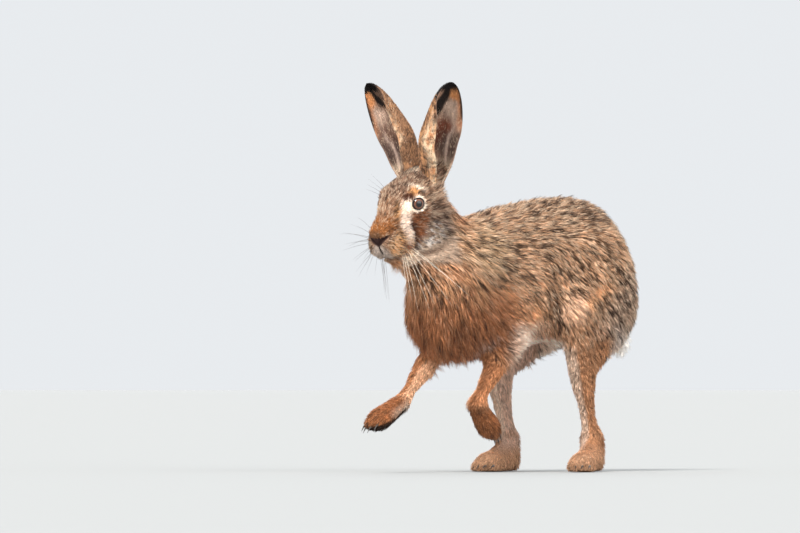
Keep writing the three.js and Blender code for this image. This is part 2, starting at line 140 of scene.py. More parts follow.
def noise(points, size, seed=0):
    """Smooth noise from 0 to 1 with features of a given size."""
    p = points / size
    cell = np.floor(p)
    f = p - cell
    f = f * f * (3 - 2 * f)
    total = 0
    for corner in range(8):
        step = np.array([corner & 1, corner >> 1 & 1, corner >> 2 & 1])
        weight = np.prod(np.where(step, f, 1 - f), axis=-1)
        total = total + weight * lattice(cell + step, seed)
    return total


low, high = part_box("eye_left")
SHIFT = (np.array(low) + np.array(high)) / 2 / MM - from_head(EYE_AT)


def to_row(p):
    """From the hare's own millimetres to metres in the shared frame."""
    return (p + SHIFT) * MM


# Camera, floor and light

VIEW_AZIMUTH = math.radians(40)
VIEW_DISTANCE = 10667  # far off, as a long lens shows it
VIEW_HEIGHT = 100
VIEW_TARGET = np.array([-96.5, -81.0, 246.6])

scene = bpy.context.scene
scene.view_settings.view_transform = "Standard"


def place(obj):
    scene.collection.objects.link(obj)
    return obj


def aim(obj, at, target):
    obj.location = Vector(at)
    obj.rotation_mode = "QUATERNION"
    obj.rotation_quaternion = (Vector(target) - Vector(at)).to_track_quat("-Z", "Y")


camera = place(bpy.data.objects.new("camera", bpy.data.cameras.new("camera")))
camera.data.lens = 400
camera.data.sensor_width = 36
camera.data.clip_end = 1000
away = np.array([math.sin(VIEW_AZIMUTH), -math.cos(VIEW_AZIMUTH), 0]) * VIEW_DISTANCE
stand = VIEW_TARGET + away
stand[2] = VIEW_HEIGHT
aim(camera, to_row(stand), to_row(VIEW_TARGET))
scene.camera = camera


def lamp(name, at, spread, power, colour):
    light = bpy.data.lights.new(name, "SUN")
    light.angle = spread
    light.energy = power
    light.color = colour
    aim(place(bpy.data.objects.new(name, light)), at, (0, 0, 0.22))


lamp("key", (0.7, -2.1, 2.5), 0.4, 4.0, (1.0, 0.97, 0.94))
lamp("fill", (2.6, -0.4, 1.0), 1.0, 1.9, (1.0, 0.98, 0.96))
lamp("rim", (-1.4, 2.0, 2.2), 0.8, 0.9, (1.0, 0.98, 0.95))

world = bpy.data.worlds.new("studio")
world.use_nodes = True
sky = world.node_tree.nodes["Background"]
sky.inputs["Color"].default_value = (0.94, 0.97, 1.0, 1)
sky.inputs["Strength"].default_value = 0.86
scene.world = world


# Materials


def shade_group(name, inputs, outputs):
    group = bpy.data.node_groups.new(name, "ShaderNodeTree")
    for label, kind, value in inputs:
        socket = group.interface.new_socket(label, in_out="INPUT", socket_type=kind)
        if value is not None:
            socket.default_value = value
    for label, kind in outputs:
        group.interface.new_socket(label, in_out="OUTPUT", socket_type=kind)
    return group, group.nodes.new("NodeGroupInput"), group.nodes.new("NodeGroupOutput")


def wire(tree, source, target):
    tree.links.new(source, target)


def math_node(tree, operation, second=None, third=None):
    node = tree.nodes.new("ShaderNodeMath")
    node.operation = operation
    for k, value in ((1, second), (2, third)):
        if value is not None:
            node.inputs[k].default_value = value
    return node


def mottle_group():
    """Varies a colour's brightness with two sizes of noise, as one lock of hair differs from the next."""
    group, start, end = shade_group(
        "mottle",
        [
            ("Colour", "NodeSocketColor", None),
            ("Fine", "NodeSocketFloat", 900.0),
            ("Broad", "NodeSocketFloat", 60.0),
            ("Amount", "NodeSocketFloat", 0.3),
        ],
        [("Colour", "NodeSocketColor"), ("Grain", "NodeSocketFloat")],
    )
    place_node = group.nodes.new("ShaderNodeTexCoord")
    fine = group.nodes.new("ShaderNodeTexNoise")
    broad = group.nodes.new("ShaderNodeTexNoise")
    for texture, label in ((fine, "Fine"), (broad, "Broad")):
        texture.inputs["Detail"].default_value = 2.0
        wire(group, place_node.outputs["Object"], texture.inputs["Vector"])
        wire(group, start.outputs[label], texture.inputs["Scale"])
    half = math_node(group, "MULTIPLY", 0.5)
    both = math_node(group, "MULTIPLY_ADD", 0.5)
    centred = math_node(group, "SUBTRACT", 0.5)
    scaled = math_node(group, "MULTIPLY_ADD", third=1.0)
    result = group.nodes.new("ShaderNodeVectorMath")
    result.operation = "SCALE"
    wire(group, broad.outputs["Fac"], half.inputs[0])
    wire(group, fine.outputs["Fac"], both.inputs[0])
    wire(group, half.outputs[0], both.inputs[2])
    wire(group, both.outputs[0], centred.inputs[0])
    wire(group, centred.outputs[0], scaled.inputs[0])
    wire(group, start.outputs["Amount"], scaled.inputs[1])
    wire(group, start.outputs["Colour"], result.inputs[0])
    wire(group, scaled.outputs[0], result.inputs["Scale"])
    wire(group, result.outputs[0], end.inputs["Colour"])
    wire(group, both.outputs[0], end.inputs["Grain"])
    return group


MOTTLE = mottle_group()


def principled(name, roughness, specular=0.3):
    material = bpy.data.materials.new(name)
    material.use_nodes = True
    shader = material.node_tree.nodes["Principled BSDF"]
    shader.inputs["Roughness"].default_value = roughness
    shader.inputs["Specular IOR Level"].default_value = specular
    return material, material.node_tree, shader


def tinted(name, roughness, fine, broad, amount, specular=0.2, bump=0.0, sheen=0.0):
    """A material that takes its colour from the mesh's own tint, mottled, with an optional bump."""
    material, tree, shader = principled(name, roughness, specular)
    shader.inputs["Sheen Weight"].default_value = sheen
    shader.inputs["Sheen Roughness"].default_value = 0.4
    tint = tree.nodes.new("ShaderNodeAttribute")
    tint.attribute_name = "tint"
    mottle = tree.nodes.new("ShaderNodeGroup")
    mottle.node_tree = MOTTLE
    mottle.inputs["Fine"].default_value = fine
    mottle.inputs["Broad"].default_value = broad
    mottle.inputs["Amount"].default_value = amount
    wire(tree, tint.outputs["Color"], mottle.inputs["Colour"])
    wire(tree, mottle.outputs["Colour"], shader.inputs["Base Color"])
    if bump:
        relief = tree.nodes.new("ShaderNodeBump")
        relief.inputs["Strength"].default_value = bump
        relief.inputs["Distance"].default_value = 0.0006
        wire(tree, mottle.outputs["Grain"], relief.inputs["Height"])
        wire(tree, relief.outputs["Normal"], shader.inputs["Normal"])
    return material


SKIN = tinted("skin", 0.8, 700, 90, 0.9, bump=0.8)
FUR = tinted("fur", 0.62, 420, 70, 0.7, specular=0.28)
VELVET = tinted("velvet", 0.68, 900, 120, 0.6, specular=0.22)
WHISKER = tinted("whisker", 0.35, 300, 60, 0.3, specular=0.5)
CLAW = tinted("claw_horn", 0.3, 1500, 240, 0.8, specular=0.5, bump=0.3)


def floor_material():
    material, tree, shader = principled("studio_floor", 0.9, 0.1)
    texture = tree.nodes.new("ShaderNodeTexNoise")
    texture.inputs["Scale"].default_value = 1.4
    colours = tree.nodes.new("ShaderNodeValToRGB")
    colours.color_ramp.elements[0].color = (0.36, 0.37, 0.37, 1)
    colours.color_ramp.elements[1].color = (0.39, 0.40, 0.40, 1)
    wire(tree, texture.outputs["Fac"], colours.inputs["Fac"])
    wire(tree, colours.outputs["Color"], shader.inputs["Base Color"])
    return material


# Meshes


def filled(name, points, faces, material, attributes=(), uv=None, smooth=True):
    """One object from arrays: points in the hare's millimetres, and triangles or quads."""
    mesh = bpy.data.meshes.new(name)
    sides = faces.shape[1]
    mesh.vertices.add(len(points))
    mesh.vertices.foreach_set("co", to_row(points).astype(np.float32).ravel())
    mesh.loops.add(faces.size)
    mesh.loops.foreach_set("vertex_index", faces.astype(np.int32).ravel())
    mesh.polygons.add(len(faces))
    mesh.polygons.foreach_set("loop_start", np.arange(0, faces.size, sides, dtype=np.int32))
    if smooth:
        mesh.polygons.foreach_set("use_smooth", np.ones(len(faces), bool))
    mesh.update(calc_edges=True)
    for label, values in attributes:
        kind = "FLOAT_COLOR" if values.ndim == 2 else "FLOAT"
        layer = mesh.attributes.new(label, kind, "POINT")
        if values.ndim == 2:
            values = np.concatenate([values, np.ones((len(values), 1))], axis=1)
            layer.data.foreach_set("color", values.astype(np.float32).ravel())
        else:
            layer.data.foreach_set("value", values.astype(np.float32))
    if uv is not None:
        layer = mesh.uv_layers.new(name="OFBake")
        layer.uv.foreach_set("vector", uv[faces.ravel()].astype(np.float32).ravel())
    mesh.materials.append(material)
    obj = place(bpy.data.objects.new(name, mesh))
    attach(obj, "root")
    return obj


def normals_of(points, tris):
    a, b, c = (points[tris[:, k]] for k in range(3))
    face = np.cross(b - a, c - a)
    total = np.zeros_like(points)
    for k in range(3):
        for axis in range(3):
            total[:, axis] += np.bincount(tris[:, k], face[:, axis], len(points))
    return unit(total)


def tube_faces(steps, around):
    """The triangles of a tube of rings, one after another, closed at both ends."""
    faces = []
    for i in range(steps):
        for j in range(around):
            a, b = i * around + j, i * around + (j + 1) % around
            faces += [(a, b, b + around), (a, b + around, a + around)]
    end = steps * around
    for j in range(1, around - 1):
        faces += [(0, j + 1, j), (end, end + j, end + j + 1)]
    return np.array(faces)


def smoothed(values, edges, turns, share=0.5):
    """Moves each vertex's value towards its neighbours' mean, a number of times."""
    count = np.bincount(edges.ravel(), minlength=len(values))[:, None].clip(1)
    flat = values.reshape(len(values), -1).astype(float)
    share = np.broadcast_to(np.asarray(share, float), (len(values),))[:, None]
    for _ in range(turns):
        mean = np.empty_like(flat)
        for k in range(flat.shape[1]):
            a = np.bincount(edges[:, 0], flat[edges[:, 1], k], len(flat))
            b = np.bincount(edges[:, 1], flat[edges[:, 0], k], len(flat))
            mean[:, k] = a + b
        flat = flat + share * (mean / count - flat)
    return flat.reshape(values.shape)


# Ears: a leaf rolled into a tube at its root, open above


def ear_axes(ear):
    """Across the ear, out of its mouth, and along it to its tip."""
    side, outward, forward, mouth = ear["side"], ear["outward"], ear["forward"], ear["mouth"]
    upright = unit(np.array([side * math.tan(math.radians(outward)), -math.tan(math.radians(forward)), 1]))
    facing = np.array([side * math.sin(math.radians(mouth)), -math.cos(math.radians(mouth)), 0])
    facing = unit(facing - upright * (facing @ upright))
    return np.stack([np.cross(facing, upright), facing, upright])


def ear_half_width(t):
    """Widening from the tube to WIDEST, then rounding off to the tip."""
    lower = mix(EAR_TUBE_RADIUS, EAR_HALF_WIDTH, ramp(t, 0.04, WIDEST))
    narrowing = np.clip((t - WIDEST) / (1 - WIDEST), 0, 1) ** 2.8
    upper = EAR_HALF_WIDTH * np.maximum(1 - narrowing, 0.004) ** 0.56
    return np.where(t <= WIDEST, lower, upper)


def ear_wrap(t):
    at_root, half_way, at_tip = EAR_WRAPS
    opened = mix(at_root, half_way, ramp(t, 0.06, 0.5))
    return np.radians(mix(opened, at_tip, ramp(t, 0.45, 1)))


def ear_points(ear, t, share, depth):
    """Points of an ear: t from root to tip, share from -1 at one margin to 1, depth inwards."""
    wrap = ear_wrap(t)
    radius = ear["wide"] * ear_half_width(t) / np.sin(np.minimum(wrap, math.pi / 2))
    r = np.maximum(radius - depth, radius * 0.3)
    fold = math.radians(EAR_FOLD) * ramp(t, 0.15, 0.4) * ramp(t, 0.98, 0.7)
    angle = share * (wrap + fold * np.clip(share * ear["side"], 0, 1))
    bow = ear["bow"] * np.sin(math.pi * t)
    across = radius * 0.5 * ramp(t, 0.3, 1) - r * np.cos(angle) + bow
    local = np.stack([r * np.sin(angle), across, mix(-EAR_BURIED, float(ear["length"]), t)], axis=-1)
    return local @ ear_axes(ear) + from_head(ear["root"])


def ear_wall(t):
    return EAR_THICKNESS * mix(1.25, 0.75, t)


def ear_shell(ear, rows=64, columns=30):
    """The ear's skin as a closed strip: its outside from margin to margin, and back along its inside."""
    t = (np.arange(rows) / (rows - 1)) ** 0.85
    share = np.linspace(-1, 1, columns) * 0.985
    T, S = np.meshgrid(t, share, indexing="ij")
    outer = ear_points(ear, T, S, 0.5)
    inner = ear_points(ear, T, S[:, ::-1], ear_wall(T) - 0.5)
    ring = 2 * columns
    points = np.concatenate([outer, inner], axis=1).reshape(-1, 3)
    ts = np.concatenate([T, T], axis=1).ravel()
    shares = np.concatenate([S, S[:, ::-1]], axis=1).ravel()
    inside = np.concatenate([np.zeros_like(T), np.ones_like(T)], axis=1).ravel()
    i, j = np.meshgrid(np.arange(rows - 1), np.arange(ring), indexing="ij")
    a, b = i * ring + j, i * ring + (j + 1) % ring
    quads = np.stack([a, b, b + ring, a + ring], axis=-1).reshape(-1, 4)
    caps = []
    for row, turn in ((0, 1), (rows - 1, 0)):
        for j in range(columns - 1):
            q = [row * ring + j, row * ring + j + 1, row * ring + ring - 2 - j, row * ring + ring - 1 - j]
            caps.append(q[::-1] if turn else q)
    return points, np.concatenate([quads, np.array(caps)]), ts, shares, inside


# The skin: the flesh joined into one, smoothed, and set in by the coat's depth

FLESH = [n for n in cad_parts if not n.startswith(("claw", "eye", "ear"))]
CUT_CLOSING = 0.28  # how far each node of flesh swells, to close the thin cuts between them
PARTS = ["head", "neck", "trunk", "tail", "thigh", "shank", "hindfoot", "forearm", "forepaw"]
DEPTH = {  # how thick the lying coat is
    "head": 2.2, "neck": 8, "trunk": 6.8, "tail": 7, "thigh": 5.8,
    "shank": 3.6, "hindfoot": 2.6, "forearm": 3.6, "forepaw": 2.8,
}


PART_DEPTHS = np.array([DEPTH[p] for p in PARTS])


def part_of(node):
    return PARTS.index(node.split("_")[0])


def own(mesh_points):
    """From metres in the shared frame to the hare's own millimetres."""
    return mesh_points / MM - SHIFT


def points_of(mesh):
    co = np.empty(len(mesh.vertices) * 3, np.float32)
    mesh.vertices.foreach_get("co", co)
    return own(co.reshape(-1, 3).astype(float))


def joined_flesh():
    """The flesh nodes, each swollen over the thin cuts between them, in one mesh of even small faces."""
    bm = bmesh.new()
    for name in FLESH + ["eye_left", "eye_right"]:
        bm.from_mesh(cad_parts[name].data)
    bmesh.ops.remove_doubles(bm, verts=bm.verts, dist=1e-6)
    bm.normal_update()
    for v in bm.verts:
        v.co += v.normal * CUT_CLOSING * MM
    for ear in EARS.values():  # the ear's tube is closed by hair a little above the head
        axes = ear_axes(ear)
        centre = from_head(ear["root"]) + axes[2] * 4
        rows = [[axes[0][k], axes[1][k], axes[2][k], to_row(centre)[k]] for k in range(3)]
        turn = Matrix(rows + [[0, 0, 0, 1]])
        bmesh.ops.create_cone(
            bm, cap_ends=True, segments=24, matrix=turn,
            radius1=10.5 * MM, radius2=10 * MM, depth=32 * MM,
        )
    mesh = bpy.data.meshes.new("flesh")
    bm.to_mesh(mesh)
    bm.free()
    obj = place(bpy.data.objects.new("flesh", mesh))
    remesh = obj.modifiers.new("even", "REMESH")
    remesh.mode = "VOXEL"
    remesh.voxel_size = VOXEL * MM
    even = obj.evaluated_get(bpy.context.evaluated_depsgraph_get()).to_mesh()
    bm = bmesh.new()
    bm.from_mesh(even)
    bpy.data.objects.remove(obj)
    return bm


def arrays_of(bm):
    mesh = bpy.data.meshes.new("skin")
    bm.to_mesh(mesh)
    points = points_of(mesh)
    edges = np.empty(len(mesh.edges) * 2, np.int32)
    mesh.edges.foreach_get("vertices", edges)
    mesh.calc_loop_triangles()
    tris = np.empty(len(mesh.loop_triangles) * 3, np.int32)
    mesh.loop_triangles.foreach_get("vertices", tris)
    bpy.data.meshes.remove(mesh)
    return points, edges.reshape(-1, 2), tris.reshape(-1, 3)


def refine(bm, wanted):
    """Halves the edges of the faces whose centres are wanted."""
    bm.faces.ensure_lookup_table()
    centres = own(np.array([f.calc_center_median() for f in bm.faces]))
    chosen = [bm.faces[int(k)] for k in np.nonzero(wanted(into_head(centres)))[0]]
    edges = list({e for f in chosen for e in f.edges})
    bmesh.ops.subdivide_edges(bm, edges=edges, cuts=1, use_grid_fill=True)


def near_eye(h):
    mirrored = np.stack([np.abs(h[:, 0]), h[:, 1], h[:, 2]], axis=1)
    return np.linalg.norm(mirrored - EYE_AT, axis=1)


def on_face(h):
    return (np.linalg.norm(h - [0, -10, -20], axis=1) < 72) & (h[:, 1] < 34)


def by_eye_or_muzzle(h):
    return (near_eye(h) < 19) | ((h[:, 1] < -32) & (np.linalg.norm(h, axis=1) < 90))


def lying(depth, points, in_head):
    """The depth of the coat, with more behind the jaw and little under the feet."""
    h = into_head(points)
    depth = depth + in_head * (2.4 * ramp(h[:, 1], 4, 34) * ramp(h[:, 2], 12, -20))
    return depth * mix(0.3, 1.0, ramp(points[:, 2], 1, 9))


def part_weights(points, edges, turns):
    """How far each vertex belongs to each part, shading from one part to the next."""
    meshes = {name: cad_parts[name].data for name in FLESH}
    tree = KDTree(sum(len(mesh.vertices) + len(mesh.polygons) for mesh in meshes.values()))
    labels = []
    for name, mesh in meshes.items():
        co = points_of(mesh)
        centres = [co[list(f.vertices)].mean(0) for f in mesh.polygons]
        for p in [*co, *centres]:
            tree.insert(p, len(labels))
            labels.append(part_of(name))
    tree.balance()
    nearest = np.array([labels[tree.find(p)[1]] for p in points])
    return smoothed(np.eye(len(PARTS))[nearest], edges, turns)


def shaped_skin():
    """The smoothed skin without its ears: points, edges, triangles and each vertex's share of each part."""
    bm = joined_flesh()
    points, edges, tris = arrays_of(bm)
    weights = part_weights(points, edges, 6)
    hard = weights[:, PARTS.index("head")] + 0.6 * weights[:, PARTS.index("hindfoot")]
    points = smoothed(points, edges, 14, mix(0.6, 0.22, np.clip(hard, 0, 1)))
    bm.verts.ensure_lookup_table()
    for v, p in zip(bm.verts, to_row(points)):
        v.co = p
    refine(bm, on_face)
    refine(bm, by_eye_or_muzzle)
    points, edges, tris = arrays_of(bm)
    bm.free()
    points = smoothed(points, edges, 3, 0.4)
    weights = part_weights(points, edges, 14)
    normals = normals_of(points, tris)
    in_head = weights[:, 0]
    depth = lying(weights @ PART_DEPTHS, points, in_head)
    points = points - normals * smoothed(depth, edges, 4)[:, None]
    points = smoothed(points, edges, 2, mix(0.4, 0.1, in_head))
    return points, edges, tris, weights


LID_PROFILE = ([0, 0.92, 1.0, 1.08, 1.3, 1.7], [7.6, 7.8, 8.9, 10.2, 10.6, 10.7])  # place, radius


def sculpt_eye(points, side):
    """Lids that fit round the eyeball. The opening is a little longer than it is high.

    Also gives each vertex's place against the rim of the lids, which is at 1.
    """
    h = into_head(points)
    centre = EYE_AT * [side, 1, 1]
    gaze = unit(EYE_GAZE * [side, 1, 1])
    slit = np.array([0.0, 1.0, -0.16])
    back = unit(slit - gaze * (gaze @ slit))
    up = np.cross(back, gaze) * side
    out = h - centre
    radius = np.linalg.norm(out, axis=1)
    way = out / radius[:, None]
    angle = np.degrees(np.arccos(np.clip(way @ gaze, -1, 1)))
    round_way = unit(np.stack([way @ back, way @ up], axis=1))
    reach = np.hypot(round_way[:, 0] / 45, round_way[:, 1] / np.where(round_way[:, 1] > 0, 37, 39))
    e = angle * reach  # 1 at the rim of the lids
    lid = np.interp(e, *LID_PROFILE)
    brow = 1.3 * np.exp(-(((e - 1.6) / 0.25) ** 2)) * ramp(round_way[:, 1], 0.1, 0.8)
    keep = ramp(e, 1.4, 2.4)
    wanted = mix(lid + brow, radius, keep)
    wanted = np.where(radius < 24, wanted, radius)
    h = np.where((radius < 24)[:, None], centre + way * wanted[:, None], h)
    return from_head(h), np.where(radius < 24, e, 9.0)


def sculpt_toes(points, normals):
    """Parts each hind foot's front into four toes, with gaps half-way between its claws."""
    for side in ("left", "right"):
        tips = [points_of(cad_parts[f"claw_hindfoot_{side}_{k}"].data).mean(0) for k in (1, 2, 3, 4)]
        heel = points_of(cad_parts[f"hindfoot_{side}"].data).mean(0)
        for a, b in zip(tips[:-1], tips[1:]):
            gap = (a + b) / 2
            way = unit((gap - heel) * [1, 1, 0])
            across = np.abs((points - gap) @ np.cross(way, [0, 0, 1.0]))
            along = (points - gap) @ way
            here = ramp(along, -20, -8) * (along < 14) * ramp(points[:, 2], 26, 14)
            near = np.abs(points[:, 0] - gap[0]) < 30
            press = 2.6 * np.exp(-((across / 1.7) ** 2)) * here * near
            points = points - normals * press[:, None]
    return points


def groove(h, path, width, depth, normals):
    """Presses a line into the surface. The path is a list of places in the head's axes."""
    nearest = np.full(len(h), 1e9)
    for a, b in zip(path[:-1], path[1:]):
        a, b = np.array(a, float), np.array(b, float)
        t = np.clip(((h - a) @ (b - a)) / ((b - a) @ (b - a)), 0, 1)
        nearest = np.minimum(nearest, np.linalg.norm(h - a - t[:, None] * (b - a), axis=1))
    press = depth * np.exp(-((nearest / width) ** 2))
    return h - normals * press[:, None], nearest


NOSTRIL = [(1.5, -65, -27), (5.5, -64.5, -22.5), (9.5, -62, -20), (12.5, -59.5, -19)]
PHILTRUM = [(0, -65, -27), (0, -64.5, -33), (0, -62, -40), (0, -60, -45)]
MOUTH = [(0, -60, -45), (6.4, -56, -50.5), (12, -48, -53), (16, -36, -52)]
CREASE = [(21.5, -17.5, -22), (21, -17, -34), (19, -18.5, -47), (17, -23, -56)]
JAW = [(19, -19, -50), (21, -15, -64), (29, 10, -69), (33, 36, -62)]
MUZZLE_END = -5  # how far back the muzzle reaches in the head's y
FOLDS = {  # path, width, depth, and how far back the fold may reach
    "nostril": (NOSTRIL, 1.7, 3.0, MUZZLE_END),
    "philtrum": (PHILTRUM, 1.8, 2.4, MUZZLE_END),
    "mouth": (MOUTH, 2.0, 3.0, MUZZLE_END),
    "crease": (CREASE, 3.2, 3.4, MUZZLE_END),
    "jaw": (JAW, 5.0, 3.0, 60),
}
MUZZLE_SWELLS = [  # place in the head's axes, radius and height
    ((13, -30, -38), 13, 6.5), ((13, -46, -40), 12, 2.5), ((6, -62, -15), 5, 1.2), ((5, -60, -37), 8, 1.2),
    ((0, -50, -60), 8, 1.5), ((0, -28, -68), 15, 6.0), ((12, -32, -54), 10, 3.5),
]
BROW_SWELL = ((19.5, -3, 10.5), 6.5, 2.0)


def sculpt_muzzle(points, tris):
    """Swells and folds of both sides of the face alike, and how far each vertex is from each fold."""
    normals = normals_of(points, tris) @ HEAD
    h = into_head(points)
    nearest = {}
    folded = np.stack([np.abs(h[:, 0]), h[:, 1], h[:, 2]], axis=1)
    flip = rows(np.where(h[:, 0] < 0, -1.0, 1.0), 1, 1)
    outward = normals * flip

    def swell(at, radius, height):
        return height * np.exp(-((np.linalg.norm(folded - np.array(at), axis=1) / radius) ** 2))

    rise = sum(swell(*one) for one in MUZZLE_SWELLS) * (h[:, 1] < MUZZLE_END) + swell(*BROW_SWELL)
    folded = folded + outward * rise[:, None]
    for name, (path, width, depth, reach) in FOLDS.items():
        here = h[:, 1] < reach
        folded, nearest[name] = groove(folded, path, width, depth, outward * here[:, None])
        nearest[name] = np.where(here, nearest[name], 99.0)
    return from_head(folded * flip), nearest


points, edges, tris, weights = shaped_skin()
points, lid_left = sculpt_eye(points, 1)
points, lid_right = sculpt_eye(points, -1)
points, muzzle_lines = sculpt_muzzle(points, tris)
points = sculpt_toes(points, normals_of(points, tris))
points = smoothed(points, edges, 1, 0.25)
lid = np.minimum(lid_left, lid_right)
normals = normals_of(points, tris)


# The lie of the coat: which way the hair points

LIE = {  # part: the way on the left side, the way on the right side
    "neck": ((0, 0.72, -0.7), (0, 0.72, -0.7)),
    "tail": ((0, 0.5, -0.86), (0, 0.5, -0.86)),
    "thigh": ((0.05, 0.52, -0.85), (-0.05, 0.52, -0.85)),
    "shank": ((-4, 41, -152), (8, 23, -146)),
    "hindfoot": ((0.45, -0.8, -0.5), (0.34, -0.85, -0.5)),
    "forearm": ((-5, -61, -78), (5, -78, -74)),
    "forepaw": ((-3, 39, -39), (2, -62, -29)),
}
FLANK_LIE = np.array([0, 0.9, -0.62])
BACK_LIE = np.array([0, 1, -0.16])
CHEST_LIE = np.array([0, 0.42, -0.9])
RUMP_LIE = np.array([0, 0.3, -0.95])
BELLY_LIE = np.array([0, 1, -0.12])


def head_lie(h, side):
    """From the nose back over the face, down over the cheeks, and away from each eye."""
    y, z = h[:, 1], h[:, 2]
    low_face = ramp(z, -8, -45)
    muzzle = ramp(y, -24, -60) * ramp(z, -10, -28)
    crown = ramp(y, 25, 60) * ramp(z, -10, 10)
    way = rows(0.10 * side, 1, 0)
    way += low_face[:, None] * rows(0.1 * side, -0.15, -0.75)
    way += muzzle[:, None] * rows(0.9 * side, 0, -0.7)
    way += crown[:, None] * np.array([0, 0.3, 0.15])
    out = h - EYE_AT * rows(side, 1, 1)
    near = np.exp(-np.clip(np.linalg.norm(out, axis=1) - 11, 0, None) / 3.5)
    return unit(way) + 1.3 * near[:, None] * unit(out)


def trunk_lie(p):
    """Back along the body, down over the chest and the rump."""
    y, z = p[:, 1], p[:, 2]
    top = ramp(z, 200, 305)
    way = mix(FLANK_LIE, BACK_LIE, top)
    way = mix(way, CHEST_LIE, ramp(y, -50, -125) * (1 - 0.55 * top))
    way = mix(way, RUMP_LIE, ramp(y, 120, 190))
    return mix(way, BELLY_LIE, ramp(y, -90, -30) * ramp(z, 175, 150))


def lie_of_coat(p, normals, weights, edges):
    """The way of the hair at each vertex, along the skin, shading from part to part."""
    side = np.where(p[:, 0] > 0, 1.0, -1.0)
    way = weights[:, [0]] * (head_lie(into_head(p), side) @ HEAD.T)
    way += weights[:, [PARTS.index("trunk")]] * trunk_lie(p)
    for part, (left, right) in LIE.items():
        each = np.where(side[:, None] > 0, unit(np.array(left, float)), unit(np.array(right, float)))
        way += weights[:, [PARTS.index(part)]] * each
    for _ in range(2):
        way = unit(way - normals * np.sum(way * normals, axis=1, keepdims=True))
        way = smoothed(way, edges, 5)
    return unit(way - normals * np.sum(way * normals, axis=1, keepdims=True))


lie = lie_of_coat(points, normals, weights, edges)


# Markings, the same for skin and coat


def tone(r, g, b):
    """A colour given as it looks on a screen, from 0 to 255."""
    c = np.array([r, g, b]) / 255
    return np.where(c < 0.04045, c / 12.92, ((c + 0.055) / 1.055) ** 2.4)


TAN = tone(212, 168, 134)
GREY = tone(186, 160, 142)
BUFF = tone(226, 168, 120)
CREAM = tone(248, 228, 206)
WHITE = tone(250, 244, 238)
BROWN = tone(140, 98, 68)
DARK = tone(62, 42, 32)
BLACK = tone(27, 20, 19)
NOSE = tone(66, 42, 38)
PINK = tone(196, 148, 128)


def lightness(colour):
    """0 for a dark colour to 1 for one that is near white."""
    return ramp(colour.min(axis=1), 0.3, 0.7)


class Paint:
    """Colours laid over one another, each with how strongly it is ticked with black."""

    def __init__(self, colour, count, tick):
        self.colour = np.tile(colour, (count, 1))
        self.tick = np.full(count, float(tick))

    def over(self, colour, amount, tick):
        self.colour = mix(self.colour, colour, amount)
        self.tick = mix(self.tick, tick, amount)


